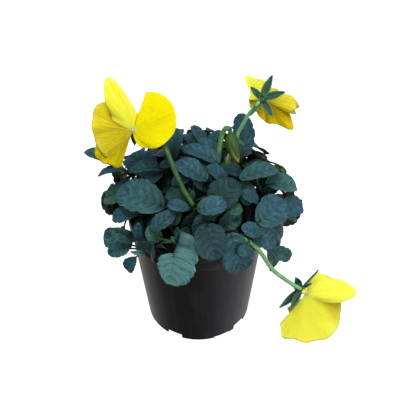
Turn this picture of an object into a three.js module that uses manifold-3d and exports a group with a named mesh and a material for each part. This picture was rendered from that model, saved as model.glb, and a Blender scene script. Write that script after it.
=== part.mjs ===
// Potted pansy: a round nursery pot, its potting mix, fifteen leafy shoots and three yellow blooms.
// Units are millimetres, +Z is up, and the origin is the centre of the pot's base.
import * as THREE from 'three';
import { mergeVertices } from 'three/addons/utils/BufferGeometryUtils.js';
import Module from 'manifold-3d';

const wasm = await Module();
wasm.setup();

// ---- Driving dimensions -------------------------------------------------------------------------
const potHeight = 118;
const potTopRadius = 60;
const potBaseRadius = 48.2;
const wall = 1.6;
const lipHeight = 6.5;
const ledgeHeight = 16.5;
const ledgeStep = 0.9;
const discRadius = 22;
const plateHeight = 4;
const potSides = 32;

const mixTop = 107;
const mixGap = 0.35;

const domeCentre = new THREE.Vector3(3, 0, 128);
const domeRadii = new THREE.Vector3(84, 72, 58);

const stemRadius = 1.6;
const petioleRadius = 0.9;
const bladeThickness = 0.8;
const petalThickness = 0.8;
const clearance = 3.5;
const ownClearance = 2.4;

// ---- Materials ----------------------------------------------------------------------------------
const paint = (color, roughness) => new THREE.MeshStandardMaterial({ color, roughness, metalness: 0 });
const blackPlastic = paint(0x262426, 0.42);
const darkMix = paint(0x2b1d14, 0.95);
const leafGreen = paint(0x3f6660, 0.55);
const petalYellow = paint(0xf7e21b, 0.5);

// ---- Small vector and solid helpers -------------------------------------------------------------
const vec = (x, y, z) => new THREE.Vector3(x, y, z);
const rad = THREE.MathUtils.degToRad;
const upward = vec(0, 0, 1);

function heading(turn, rise) {
  const flat = Math.cos(rad(rise));
  return vec(Math.cos(rad(turn)) * flat, Math.sin(rad(turn)) * flat, Math.sin(rad(rise)));
}

function solid(geometry) {
  const bare = geometry.index ? geometry.toNonIndexed() : geometry.clone();
  bare.deleteAttribute('normal');
  bare.deleteAttribute('uv');
  const merged = mergeVertices(bare, 1e-4);
  const vertProperties = new Float32Array(merged.attributes.position.array);
  const triVerts = new Uint32Array(merged.index.array);
  return new wasm.Manifold(new wasm.Mesh({ numProp: 3, vertProperties, triVerts }));
}

// One body out of a fused solid: scraps and sealed hollows are left out.
function oneBody(fused) {
  return fused.decompose().reduce((best, piece) => (piece.volume() > best.volume() ? piece : best));
}

function toMesh(name, fused, material) {
  const { numProp, vertProperties, triVerts } = oneBody(fused).getMesh();
  const places = [];
  for (let i = 0; i < vertProperties.length; i += numProp) {
    places.push(vertProperties[i], vertProperties[i + 1], vertProperties[i + 2]);
  }
  const geometry = new THREE.BufferGeometry();
  geometry.setAttribute('position', new THREE.Float32BufferAttribute(places, 3));
  geometry.setIndex([...triVerts]);
  geometry.computeVertexNormals();
  const mesh = new THREE.Mesh(geometry, material);
  mesh.name = name;
  return mesh;
}

function tube(curve, radius, sides, steps) {
  const section = new THREE.Shape();
  for (let i = 0; i < sides; i += 1) {
    const angle = (i / sides) * Math.PI * 2;
    const [x, y] = [radius * Math.cos(angle), radius * Math.sin(angle)];
    if (i === 0) section.moveTo(x, y);
    else section.lineTo(x, y);
  }
  const options = { steps, bevelEnabled: false, extrudePath: curve };
  return solid(new THREE.ExtrudeGeometry(section, options));
}

// A sheet of points and triangles made into a thin solid, split into triangles alike on both faces.
function thicken(points, faces, thickness) {
  const normals = points.map(() => vec(0, 0, 0));
  for (const [a, b, c] of faces) {
    const side = points[b].clone().sub(points[a]);
    const normal = side.cross(points[c].clone().sub(points[a]));
    for (const corner of [a, b, c]) normals[corner].add(normal);
  }
  const sheet = [];
  for (const sign of [0.5, -0.5]) {
    points.forEach((p, i) => sheet.push(p.clone().addScaledVector(normals[i].normalize(), sign * thickness)));
  }
  const count = points.length;
  const edges = new Map();
  const index = [];
  for (const [a, b, c] of faces) {
    index.push(a, b, c, a + count, c + count, b + count);
    for (const [from, to] of [[a, b], [b, c], [c, a]]) {
      if (!edges.delete(`${to},${from}`)) edges.set(`${from},${to}`, [from, to]);
    }
  }
  for (const [from, to] of edges.values()) {
    index.push(from, from + count, to + count, from, to + count, to);
  }
  const geometry = new THREE.BufferGeometry();
  geometry.setAttribute('position', new THREE.Float32BufferAttribute(sheet.flatMap((p) => p.toArray()), 3));
  geometry.setIndex(index);
  return solid(geometry);
}

// ---- Leaf blades --------------------------------------------------------------------------------
// A leaf is given by the foot of its blade, the way its midrib points (turn, rise), and its size.
// bend is how far the midrib curves down over its length, lobe how far the lower lobes reach back, and
// skew how much larger the lobe on the leaf's own right is.
const leafDefaults = { bend: 35, fold: 0.25, lobe: 0.18, skew: 0, shape: 0.95 };
const toothStart = 0.06;
const toothPitch = 0.28;
const toothDepth = 0.09;
const skewWidening = 0.3;
const bladeFullness = 0.5;
const skewFullness = 0.4;
const outwardShare = 0.6;

function leafFrame(leaf) {
  const along = heading(leaf.turn, leaf.rise);
  const middle = vec(...leaf.at).addScaledVector(along, leaf.long / 2);
  const outward = middle.sub(domeCentre).divide(domeRadii).divide(domeRadii).normalize();
  const face = outward.multiplyScalar(outwardShare).addScaledVector(upward, 1 - outwardShare);
  face.addScaledVector(along, -face.dot(along)).normalize();
  return { along, face, across: face.clone().cross(along) };
}

function bladePoint(leaf, axes, s, t) {
  const tooth = toothDepth * (Math.abs(Math.sin((Math.PI * (s - toothStart)) / toothPitch)) - 0.5);
  const inner = Math.min(Math.max(s, 1e-6), 1 - 1e-6);
  const skew = leaf.skew * Math.sign(t);
  const profile = Math.sin(Math.PI * inner ** leaf.shape) ** (bladeFullness * (1 - skewFullness * skew));
  const side = (leaf.wide / 2) * profile * (1 + tooth * Math.abs(t) ** 3) * (1 + skewWidening * skew) * t;
  const bend = rad(leaf.bend);
  const back = leaf.lobe * leaf.long * (1 - s) ** 3 * t * t * (1 + skew);
  const lift = leaf.fold * Math.abs(side);
  const [cos, sin] = [Math.cos(bend * s), Math.sin(bend * s)];
  const x = (leaf.long * sin) / bend - back * cos + lift * sin;
  const z = (-leaf.long * (1 - cos)) / bend + back * sin + lift * cos;
  const point = vec(...leaf.at).addScaledVector(axes.along, x);
  return point.addScaledVector(axes.across, side).addScaledVector(axes.face, z);
}

// A leaf is one sheet: pairs of points along its winged petiole, then rows of three points (one edge,
// midrib, other edge) up the blade to a single tip. Small leaves have fewer rows.
const petioleSteps = 2;
const toothedRows = [0.06, 0.2, 0.34, 0.48, 0.62, 0.76, 0.9];
const smallRows = [0.08, 0.34, 0.62, 0.88];
const tinyRows = [0.1, 0.48, 0.84];
const stipuleRows = [0.3, 0.7];
const smallLength = 29;
const tinyLength = 19;
const stipuleWidth = 6;

function leafRows(leaf) {
  if (leaf.wide < stipuleWidth) return stipuleRows;
  if (leaf.long < tinyLength) return tinyRows;
  return leaf.long < smallLength ? smallRows : toothedRows;
}

function leafSolid(leaf, petiole) {
  const axes = leafFrame(leaf);
  const points = [];
  for (let step = 0; petiole && step <= petioleSteps; step += 1) {
    const middle = petiole.getPoint(step / petioleSteps);
    for (const side of [-petioleRadius, petioleRadius]) {
      points.push(middle.clone().addScaledVector(axes.across, side));
    }
  }
  if (!petiole) points.push(bladePoint(leaf, axes, 0, -0.2), bladePoint(leaf, axes, 0, 0.2));
  const faces = [];
  for (let pair = 0; pair < points.length - 2; pair += 2) {
    faces.push([pair, pair + 2, pair + 3], [pair, pair + 3, pair + 1]);
  }
  let row = points.length;
  faces.push([row - 2, row, row + 1], [row - 2, row + 1, row - 1], [row - 1, row + 1, row + 2]);
  for (const s of leafRows(leaf)) {
    for (const t of [-1, 0, 1]) points.push(bladePoint(leaf, axes, s, t));
  }
  for (; row < points.length - 3; row += 3) {
    faces.push([row, row + 3, row + 4], [row, row + 4, row + 1]);
    faces.push([row + 1, row + 4, row + 5], [row + 1, row + 5, row + 2]);
  }
  points.push(bladePoint(leaf, axes, 1, 0));
  faces.push([row, row + 3, row + 1], [row + 1, row + 3, row + 2]);
  return thicken(points, faces, bladeThickness);
}
// ---- Shoots -------------------------------------------------------------------------------------
// Each shoot's stem stands upright in the mix at its root, then leans out through its points.
const rootDepth = 14;
const uprightRise = 4;
const shoots = [
  { name: 'front_left', root: [-13, -12], stem: [[-24, -32, 121], [-40, -54, 120]] },
  { name: 'left', root: [-19, -1], stem: [[-34, -14, 126], [-47, -22, 144]] },
  { name: 'back_left', root: [-17, 9], stem: [[-38, 12, 128], [-54, 16, 146]] },
  { name: 'flower_left', root: [-4, -8], stem: [[-6, -22, 130], [-4, -39, 158]] },
  { name: 'upper_left', root: [-7, 3], stem: [[-20, -3, 134], [-27, -4, 158]] },
  { name: 'top', root: [1, 7], stem: [[3, 6, 136], [8, 5, 166]] },
  { name: 'bud', root: [6, 0], stem: [[13, -6, 134], [16, -8, 158]] },
  { name: 'flower_top', root: [11, 8], stem: [[25, 10, 134], [32, 13, 164]] },
  { name: 'right', root: [18, 1], stem: [[38, -6, 127], [53, -16, 146]] },
  { name: 'front_right', root: [14, -9], stem: [[33, -27, 122], [50, -41, 130]] },
  { name: 'flower_low', root: [5, -16], stem: [[12, -38, 124], [20, -50, 138]] },
  { name: 'front', root: [-5, -20], stem: [[-8, -44, 123], [-14, -60, 136]] },
  { name: 'back', root: [0, 18], stem: [[-1, 36, 130], [-2, 50, 152]] },
  { name: 'back_right', root: [12, 18], stem: [[34, 30, 128], [48, 40, 144]] },
  { name: 'back_low_left', root: [-10, 18], stem: [[-28, 34, 128], [-42, 44, 142]] },
];

function stemCurve(shoot) {
  const [x, y] = shoot.root;
  const upright = [-rootDepth, -rootDepth / 2, 0, uprightRise].map((z) => vec(x, y, mixTop + z));
  return new THREE.CatmullRomCurve3([...upright, ...shoot.stem.map((p) => vec(...p))]);
}

// Leaves seen in front, each at its own place on the mound.
const visibleLeaves = [
  {
    at: [-17.5, -71, 132.3], turn: -117, rise: -60, long: 24.5, wide: 30,
    lobe: 0.45, skew: 0.87, shape: 0.65, bend: 8, fold: 0.1,
  },
  { at: [-31, -41, 159], turn: 160, rise: 15, long: 37, wide: 28 },
  { at: [-54, -25, 156], turn: 165, rise: -10, long: 27, wide: 20 },
  { at: [-52, -39, 147], turn: 175, rise: -10, long: 19, wide: 13 },
  { at: [-57, -44, 119], turn: 165, rise: 10, long: 24, wide: 19 },
  { at: [-52, -44, 125], turn: -150, rise: 60, long: 21, wide: 13 },
  { at: [-58, -47, 116], turn: -165, rise: 0, long: 16, wide: 11 },
  { at: [-49, -55, 115], turn: -165, rise: -35, long: 19, wide: 12, shape: 1.35, lobe: 0 },
  { at: [-35, -57, 147], turn: 15, rise: 55, long: 23, wide: 13, lobe: 0 },
  { at: [-30, -57, 136], turn: -160, rise: 60, long: 15, wide: 12 },
  { at: [-46, -55, 132], turn: -20, rise: 75, long: 17, wide: 8, lobe: 0 },
  { at: [-37, -62, 127], turn: -90, rise: 80, long: 16, wide: 18, fold: 0.5 },
  { at: [-73, 20, 153], turn: 165, rise: 35, long: 26, wide: 17 },
  { at: [-64, 12, 152], turn: -170, rise: -12, long: 21, wide: 14 },
  { at: [-37, -12, 168], turn: 135, rise: 15, long: 31, wide: 24 },
  { at: [-31, -12, 172], turn: -165, rise: 5, long: 24, wide: 14, fold: 0.5 },
  { at: [-17, -8, 174], turn: -155, rise: 20, long: 14, wide: 10 },
  { at: [-21, 4, 168], turn: 85, rise: 22, long: 42, wide: 15, fold: 0.5 },
  { at: [-7, 16, 172], turn: 110, rise: 25, long: 20, wide: 8 },
  { at: [7, 7, 177], turn: 110, rise: 22, long: 33, wide: 10, lobe: 0, fold: 0.5 },
  { at: [8, 7, 177], turn: 65, rise: 25, long: 26, wide: 8, lobe: 0 },
  { at: [14, -12, 181], turn: 155, rise: 22, long: 28, wide: 17 },
  { at: [5, -28, 176], turn: 155, rise: 28, long: 26, wide: 18 },
  { at: [18, -1, 176], turn: 145, rise: 35, long: 23, wide: 13 },
  { at: [39, 15, 169], turn: 90, rise: 25, long: 40, wide: 19, lobe: 0.1, bend: 12 },
  { at: [36, 10, 171], turn: -40, rise: 15, long: 28, wide: 16 },
  { at: [39, -22, 172], turn: 30, rise: 5, long: 33, wide: 16 },
  { at: [60, -14, 158], turn: 15, rise: -5, long: 26, wide: 20 },
  { at: [53, -5, 163], turn: 5, rise: 10, long: 15, wide: 9 },
  { at: [52, -47, 149], turn: 35, rise: 22, long: 24, wide: 25, lobe: 0.25, bend: 20 },
  { at: [67, -30, 142], turn: 30, rise: 0, long: 28, wide: 18 },
  { at: [68, -27, 137], turn: 20, rise: -25, long: 24, wide: 9, lobe: 0 },
  { at: [59, -39, 137], turn: 15, rise: -30, long: 31, wide: 15 },
  { at: [49, -58, 143], turn: -160, rise: 45, long: 17, wide: 12, shape: 1.1, lobe: 0.05 },
  { at: [47, -54, 137], turn: 0, rise: -10, long: 19, wide: 19 },
  { at: [54, -52, 123], turn: 0, rise: -25, long: 31, wide: 12, shape: 1.4, lobe: 0 },
  { at: [60, -36, 113], turn: -5, rise: -50, long: 37, wide: 19, bend: 30 },
  { at: [28, -66, 143], turn: -60, rise: -60, long: 28, wide: 25, lobe: 0.25 },
  { at: [40, -69, 142], turn: -125, rise: -30, long: 11, wide: 10, lobe: 0 },
  { at: [9, -63, 152], turn: -75, rise: -45, long: 24, wide: 26, lobe: 0.25 },
  { at: [4, -53, 165], turn: 0, rise: 20, long: 20, wide: 16 },
  { at: [24, -48, 161], turn: -20, rise: 10, long: 12, wide: 11 },
  { at: [14, -46, 162], turn: 35, rise: 35, long: 27, wide: 24 },
  { at: [22, -27, 172], turn: 170, rise: 40, long: 18, wide: 13 },
  { at: [47, -37, 160], turn: -170, rise: 45, long: 15, wide: 11 },
  { at: [-8, -50, 163], turn: 175, rise: 20, long: 15, wide: 10 },
  { at: [-10, -40, 163], turn: 150, rise: 35, long: 16, wide: 16 },
  { at: [-5, -54, 149], turn: 45, rise: 70, long: 17, wide: 18 },
  { at: [20, -53, 147], turn: 5, rise: 35, long: 17, wide: 14 },
].map((leaf) => ({ ...leafDefaults, ...leaf, fixed: true }));

// Young lobed stipules at the two shoot tips that show.
const stipules = [
  { shoot: 'front_left', foot: [-41, -56, 120], reach: 13, count: 6 },
  { shoot: 'flower_left', foot: [-4, -40, 160], reach: 11, count: 6 },
];

function stipuleLeaves({ shoot, foot, reach, count }) {
  const leaves = [];
  for (let i = 0; i < count; i += 1) {
    const [turn, rise, long] = [-150 + (300 / count) * i, 25 + 20 * (i % 2), reach - (i % 3)];
    leaves.push({ ...leafDefaults, at: foot, turn, rise, long, wide: 4, lobe: 0, shoot, sessile: true });
  }
  return leaves;
}

// The rest of the mound: leaves on a spiral over it, an outer layer and an inner one.
const layers = [
  { scale: 0.95, count: 58, low: -0.35, long: [24, 31] },
  { scale: 0.76, count: 25, low: -0.1, long: [17, 23] },
];
const goldenAngle = 137.508;
const turnSpread = 40;
const riseRange = [8, 26];
const widthRange = [0.66, 0.86];
let seed = 20;

function draw(low, high) {
  seed = (seed * 1664525 + 1013904223) % 4294967296;
  return low + ((high - low) * seed) / 4294967296;
}

function layerLeaves({ scale, count, low, long }) {
  const leaves = [];
  for (let i = 0; i < count; i += 1) {
    const height = 1 - ((i + 0.5) / count) * (1 - low);
    const ring = Math.sqrt(1 - height * height);
    const around = rad(i * goldenAngle);
    const out = vec(ring * Math.cos(around), ring * Math.sin(around), height);
    const down = vec(Math.cos(around) * height, Math.sin(around) * height, -ring);
    const slope = down.multiply(domeRadii).normalize();
    const length = draw(...long);
    const turn = THREE.MathUtils.radToDeg(Math.atan2(slope.y, slope.x)) + draw(-turnSpread, turnSpread);
    const rise = THREE.MathUtils.radToDeg(Math.asin(slope.z)) + draw(...riseRange);
    const centre = out.multiply(domeRadii).multiplyScalar(scale).add(domeCentre);
    const at = centre.addScaledVector(heading(turn, rise), -length / 2).toArray();
    leaves.push({ ...leafDefaults, at, turn, rise, long: length, wide: length * draw(...widthRange) });
  }
  return leaves;
}

// A petiole leaves the stem below the blade and comes in along its midrib.
const stemStations = 12;
const petioleDrop = 8;
const petioleBack = 12;

function petioleCurve(leaf, shoot) {
  const { along, face } = leafFrame(leaf);
  const foot = vec(...leaf.at);
  const aim = foot.clone().addScaledVector(along, -petioleBack).add(vec(0, 0, -petioleDrop));
  const stations = shoot.curve.getPoints(stemStations).filter((p) => p.z > mixTop + 3);
  const start = stations.reduce((best, p) => (p.distanceTo(aim) < best.distanceTo(aim) ? p : best));
  const reach = start.distanceTo(foot);
  const bow = foot.clone().addScaledVector(along, -0.4 * reach).addScaledVector(face, -0.1 * reach);
  return new THREE.QuadraticBezierCurve3(start, bow, foot);
}

// ---- Keeping shoots clear of each other ---------------------------------------------------------
function samples(leaf, shoot) {
  const axes = leafFrame(leaf);
  const stalk = leaf.sessile ? [] : petioleCurve(leaf, shoot).getPoints(8).slice(2);
  const blade = [];
  for (const s of [0, 0.12, 0.27, 0.42, 0.57, 0.72, 0.87, 1]) {
    for (const t of [-1, -0.66, -0.33, 0, 0.33, 0.66, 1]) blade.push(bladePoint(leaf, axes, s, t));
  }
  return { stalk, blade, owner: shoot.name };
}

function apart(points, others, gap) {
  return points.every((p) => others.every((q) => p.distanceToSquared(q) > gap * gap));
}

// Clear of the mix and of the pot's wall and rim.
function clearOfPot(points) {
  return points.every((p) => {
    const out = Math.hypot(p.x, p.y);
    const inMix = p.z < mixTop + 2 && out < potTopRadius;
    const inWall = p.z < potHeight + 2 && out > potTopRadius - 6 && out < potTopRadius + 2;
    return !inMix && !inWall && p.z > 20;
  });
}

// Clear of everything already placed on other shoots, and of the blades on its own shoot.
function isClear(leaf, placed, ownGap) {
  const points = [...leaf.stalk, ...leaf.blade];
  if (!clearOfPot(points)) return false;
  return placed.every((other) => {
    if (other.owner === leaf.owner) return apart(leaf.blade, other.blade, ownGap);
    return apart(points, other.stalk, clearance) && apart(points, other.blade, clearance);
  });
}

const riseTweaks = [0, 7, -7, 14, -14, 21, -21];

function settle(leaf, placed) {
  const foot = vec(...leaf.at);
  const gap = (shoot) => Math.min(...shoot.curve.getPoints(stemStations).map((p) => p.distanceTo(foot)));
  const nearest = leaf.shoot
    ? shoots.filter((shoot) => shoot.name === leaf.shoot)
    : [...shoots].sort((a, b) => gap(a) - gap(b)).slice(0, 5);
  for (const ownGap of leaf.fixed || leaf.sessile ? [ownClearance, 0] : [ownClearance]) {
    for (const shoot of nearest) {
      for (const tweak of riseTweaks) {
        const trial = { ...leaf, rise: leaf.rise + tweak };
        const shape = samples(trial, shoot);
        if (isClear(shape, placed, ownGap)) {
          placed.push(shape);
          shoot.leaves.push(trial);
          return;
        }
      }
    }
  }
}

// ---- Blooms -------------------------------------------------------------------------------------
// A bloom faces (turn, rise); petals stand round its throat at an angle from its own right-hand side.
// lean tips a petal forward, twist turns it about its own length, spread is half its opening angle.
// rim is how far the petal reaches at nine even steps across it. A sepal is [angle, lean, long, wide].
const petalDefaults = { lean: 0, twist: 0, cup: 0.08, waves: 2 };
const petalRings = [0.5, 1];
const petalFoot = 1.6;
const ruffleHeight = 0.035;
const throatRadius = 2.6;
const receptacleRadius = 2.6;
const throatGap = 0.4;

const blooms = [
  {
    name: 'left',
    shoot: 'flower_left',
    throat: [-48.5, -15, 211],
    turn: -90,
    rise: 32,
    roll: 0,
    stalkRadius: 1.9,
    stalk: [
      [-4, -40, 155], [-3.5, -47, 165], [-10, -42, 175], [-16, -36, 187],
      [-25, -19, 200], [-36, -7, 206], [-45, -3, 208],
    ],
    petals: [
      { angle: 127, spread: 54, lean: 15, cup: 0.06, rim: [13, 18, 29, 44.5, 34.5, 21, 17, 9, 5] },
      {
        angle: 186, spread: 58, lean: 3, cup: 0.12, waves: 3,
        rim: [29, 33, 33, 31.5, 30.5, 30, 29.5, 28.5, 18],
      },
      { angle: 225, spread: 25, lean: -5, rim: [32, 34, 35.5, 36, 35.5, 34, 32, 33, 31] },
      {
        angle: -9, spread: 80, lean: 7, cup: 0.05, waves: 3,
        rim: [4, 12.5, 18.3, 24.5, 30, 34.5, 36.4, 35.5, 31],
      },
      { angle: 32, spread: 42, lean: -6, rim: [12, 18, 23, 27, 28, 27, 25, 20, 14] },
    ],
    sepals: [[126, -20, 13, 5], [198, -20, 14, 5], [270, -20, 14, 5], [342, -20, 14, 5], [54, -20, 13, 5]],
  },
  {
    name: 'top',
    shoot: 'flower_top',
    throat: [51, 11, 222],
    turn: 84,
    rise: -44,
    roll: 180,
    stalkRadius: 1.35,
    stalk: [[31, 12, 160], [33, 12, 188], [37, 10, 200], [42, 6, 214], [47.5, 4, 223]],
    petals: [
      { angle: -126, spread: 60, lean: 16, rim: [10, 10, 10.5, 13.5, 25, 20, 17.5, 15, 13] },
      { angle: -30, spread: 44, lean: 30, waves: 3, rim: [16, 15.5, 15, 17, 21, 26, 30.5, 29, 25] },
      { angle: 10, spread: 20, lean: 40, waves: 3, rim: [31, 34, 37.5, 35, 36.5, 28, 26, 25, 24] },
      {
        angle: 61, spread: 44, lean: 30, cup: 0.12, waves: 4,
        rim: [22, 29, 34.5, 25.5, 21, 19, 15, 12, 10.5],
      },
      { angle: 135, spread: 48, lean: 24, rim: [15, 12, 10.5, 10.5, 10.5, 11, 10.5, 10.5, 10] },
    ],
    sepals: [
      [-67, -18, 20, 6.4], [-13, -18, 20, 6.2], [59, -18, 20, 6], [119, 4, 17, 4], [-142, -18, 13, 5],
    ],
  },
  {
    name: 'low',
    shoot: 'flower_low',
    throat: [94.5, -44, 60],
    turn: -13,
    rise: -37,
    roll: -40,
    stalkRadius: 1.8,
    stalk: [
      [18, -48, 132], [28, -53, 138], [40, -51, 130], [50, -51, 119],
      [63, -51, 96], [77, -47, 78], [88, -44, 66],
    ],
    petals: [
      { angle: 90, spread: 56, lean: 41, twist: -106, rim: [8, 16, 35.5, 46.5, 38, 27.5, 23, 21, 8] },
      {
        angle: -90, spread: 54, lean: 54, twist: 90, cup: 0.1, waves: 3,
        rim: [36, 45.5, 44.5, 46, 48, 49, 46.5, 42.5, 38],
      },
      { angle: 62, spread: 42, lean: 40, twist: -60, rim: [18, 24, 30, 34, 34, 30, 26, 22, 16] },
      {
        angle: 5, spread: 54, lean: 48, cup: 0.16, waves: 3,
        rim: [22, 29, 33, 35, 36, 35, 33, 29, 22],
      },
      {
        angle: -48, spread: 50, lean: 52, twist: 46, cup: 0.16, waves: 3,
        rim: [22, 29, 33, 36, 37, 36, 33, 29, 22],
      },
    ],
    sepals: [
      [102, 6, 23, 3], [120, 24, 11, 4], [282, -6, 25, 6.5, -45], [256, 6, 20, 6.5, -40],
      [48, -36, 11, 9], [342, -54, 13, 4],
    ],
  },
];

function bloomFrame(bloom) {
  const front = heading(bloom.turn, bloom.rise);
  const right = upward.clone().cross(front).normalize().applyAxisAngle(front, rad(bloom.roll));
  return { front, right, top: front.clone().cross(right) };
}

function petalFrame(petal, axes) {
  const { front, right, top } = axes;
  const [cos, sin] = [Math.cos(rad(petal.angle)), Math.sin(rad(petal.angle))];
  const flat = right.clone().multiplyScalar(cos).addScaledVector(top, sin);
  const across = right.clone().multiplyScalar(-sin).addScaledVector(top, cos);
  const lean = rad(petal.lean);
  const along = flat.multiplyScalar(Math.cos(lean)).addScaledVector(front, Math.sin(lean));
  across.applyAxisAngle(along, rad(petal.twist));
  return { along, across, face: along.clone().cross(across) };
}

// The point at u of the way out to step i of the petal's rim.
function petalPoint(petal, frame, throat, u, i) {
  const v = (2 * i) / (petal.rim.length - 1) - 1;
  const long = Math.max(...petal.rim);
  const angle = rad(petal.spread) * v;
  const radius = u * petal.rim[i];
  const wave = Math.sin(petal.waves * Math.PI * v + petal.angle);
  const height = long * u * u * (ruffleHeight * wave - petal.cup * (0.4 + v * v));
  const point = throat.clone().addScaledVector(frame.along, radius * Math.cos(angle));
  return point.addScaledVector(frame.across, radius * Math.sin(angle)).addScaledVector(frame.face, height);
}

function petalSolid(petal, axes, throat) {
  const frame = petalFrame(petal, axes);
  const points = [throat.clone().addScaledVector(frame.along, petalFoot)];
  const across = petal.rim.length;
  for (const u of petalRings) {
    for (let i = 0; i < across; i += 1) points.push(petalPoint(petal, frame, throat, u, i));
  }
  const faces = [];
  for (let i = 1; i < across; i += 1) {
    faces.push([0, i, i + 1]);
    for (let ring = 0; ring < petalRings.length - 1; ring += 1) {
      const a = i + ring * across;
      faces.push([a, a + across, a + across + 1], [a, a + across + 1, a + 1]);
    }
  }
  return thicken(points, faces, petalThickness);
}

function ball(centre, radius) {
  const geometry = new THREE.IcosahedronGeometry(radius, 0);
  geometry.translate(centre.x, centre.y, centre.z);
  return solid(geometry);
}

function corolla(bloom) {
  const axes = bloomFrame(bloom);
  const throat = vec(...bloom.throat);
  const petals = bloom.petals.map((petal) => petalSolid({ ...petalDefaults, ...petal }, axes, throat));
  return petals.reduce((whole, petal) => whole.add(petal), ball(throat, throatRadius));
}

// The green cup behind the petals with its sepals and ears, on the end of the flower's stalk. A sepal is
// its way round the cup, its lean to the petals, its length and width, and how far it turns on itself.
const sepalFoot = 1.9;

function calyx(bloom) {
  const axes = bloomFrame(bloom);
  const behind = throatRadius + receptacleRadius + throatGap;
  const cup = vec(...bloom.throat).addScaledVector(axes.front, -behind);
  let green = ball(cup, receptacleRadius);
  for (const [angle, lean, long, wide, twist = 0] of bloom.sepals) {
    const frame = petalFrame({ angle, lean, twist }, axes);
    green = green.add(sepalSolid(cup, frame, long, wide));
  }
  const curve = new THREE.CatmullRomCurve3([...bloom.stalk.map((p) => vec(...p)), cup]);
  return green.add(tube(curve, bloom.stalkRadius, 5, 2 * bloom.stalk.length + 2));
}

function sepalSolid(cup, { along, across, face }, long, wide) {
  const points = [];
  const place = (x, y, z) => {
    const point = cup.clone().addScaledVector(along, x).addScaledVector(across, y);
    points.push(point.addScaledVector(face, z));
  };
  place(sepalFoot, 0, 0);
  for (const [s, width] of [[0.3, 0.9], [0.65, 0.8]]) {
    const half = (wide / 2) * width;
    for (const t of [-1, 0, 1]) place(long * s, half * t, -Math.abs(t) * 0.6 - 2 * s * s);
  }
  place(long, 0, -2);
  const faces = [[0, 1, 2], [0, 2, 3], [1, 4, 5], [1, 5, 2], [2, 5, 6], [2, 6, 3], [4, 7, 5], [5, 7, 6]];
  return thicken(points, faces, bladeThickness);
}

// A nodding bud on a hooked stalk, its sepals still closed round the petals but for one, and a small
// upright one.
const budStalk = [
  [16, -8, 155], [17, -6.5, 164], [17.5, -4, 175], [18, -2, 184], [19.5, 1, 192],
  [21, 3, 197], [23.5, 4, 200.5], [26, 4, 199], [27, 3.5, 196],
];
const budLine = [[26.5, 3.5, 197], [28.5, 0, 187], [34, -3, 170]];
const budStalkRadius = 2.2;
const budRadius = 5.2;
const budletRadius = 2.5;
const budletLine = [[17, -6, 156], [23.5, -6.5, 163], [25.3, -8, 184]];
const openSepalWay = vec(15.5, -2, -12).normalize();
const openSepalLong = 17;
const openSepalWide = 5;

function taper(line, radius, sides, bulge) {
  const curve = new THREE.CatmullRomCurve3(line.map((p) => vec(...p)));
  const rings = [0.08, 0.4, 0.75];
  const points = [curve.getPoint(0)];
  const tangent = curve.getPoint(1).sub(curve.getPoint(0)).normalize();
  const side = tangent.clone().cross(upward).normalize();
  const other = tangent.clone().cross(side);
  for (const s of rings) {
    const width = radius * Math.sin(Math.PI * s ** bulge) ** 0.7;
    for (let i = 0; i < sides; i += 1) {
      const angle = (i / sides) * Math.PI * 2;
      const point = curve.getPoint(s).addScaledVector(side, width * Math.cos(angle));
      points.push(point.addScaledVector(other, width * Math.sin(angle)));
    }
  }
  points.push(curve.getPoint(1));
  const index = [];
  const last = points.length - 1;
  for (let i = 0; i < sides; i += 1) {
    const next = (i + 1) % sides;
    index.push(0, 1 + next, 1 + i, last, last - sides + i, last - sides + next);
    for (let ring = 0; ring < rings.length - 1; ring += 1) {
      const a = 1 + ring * sides;
      index.push(a + i, a + next, a + next + sides, a + i, a + next + sides, a + i + sides);
    }
  }
  const geometry = new THREE.BufferGeometry();
  geometry.setAttribute('position', new THREE.Float32BufferAttribute(points.flatMap((p) => p.toArray()), 3));
  geometry.setIndex(index);
  return solid(geometry);
}

function buds() {
  const hook = new THREE.CatmullRomCurve3(budStalk.map((p) => vec(...p)));
  const nodding = tube(hook, budStalkRadius, 5, 14).add(taper(budLine, budRadius, 6, 0.9));
  const face = openSepalWay.clone().cross(vec(0, 1, 0.3)).normalize();
  const frame = { along: openSepalWay, across: face.clone().cross(openSepalWay), face };
  const openSepal = sepalSolid(vec(...budLine[0]), frame, openSepalLong, openSepalWide);
  const stalk = new THREE.CatmullRomCurve3(budletLine.slice(0, 2).map((p) => vec(...p)));
  const budlet = tube(stalk, petioleRadius, 4, 3).add(taper(budletLine.slice(1), budletRadius, 6, 0.8));
  return nodding.add(openSepal).add(budlet);
}

// ---- Placing everything that grows --------------------------------------------------------------
const placed = [];
for (const shoot of shoots) {
  shoot.curve = stemCurve(shoot);
  shoot.leaves = [];
  const stalk = shoot.curve.getPoints(30).filter((p) => p.z > mixTop + 1);
  placed.push({ owner: shoot.name, stalk, blade: [] });
}
for (const bloom of blooms) {
  const axes = bloomFrame(bloom);
  const throat = vec(...bloom.throat);
  const stalk = new THREE.CatmullRomCurve3(bloom.stalk.map((p) => vec(...p)));
  placed.push({ owner: bloom.shoot, stalk: stalk.getPoints(50), blade: [] });
  const points = [];
  for (const petal of bloom.petals) {
    const whole = { ...petalDefaults, ...petal };
    const frame = petalFrame(whole, axes);
    for (const u of [0.1, 0.3, 0.5, 0.65, 0.8, 0.9, 1]) {
      whole.rim.forEach((_, i) => points.push(petalPoint(whole, frame, throat, u, i)));
    }
  }
  placed.push({ owner: `corolla_${bloom.name}`, stalk: [], blade: points });
}
const budPath = new THREE.CatmullRomCurve3([...budStalk, ...budLine.slice(1)].map((p) => vec(...p)));
const budBody = new THREE.CatmullRomCurve3(budLine.map((p) => vec(...p))).getPoints(6);
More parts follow.
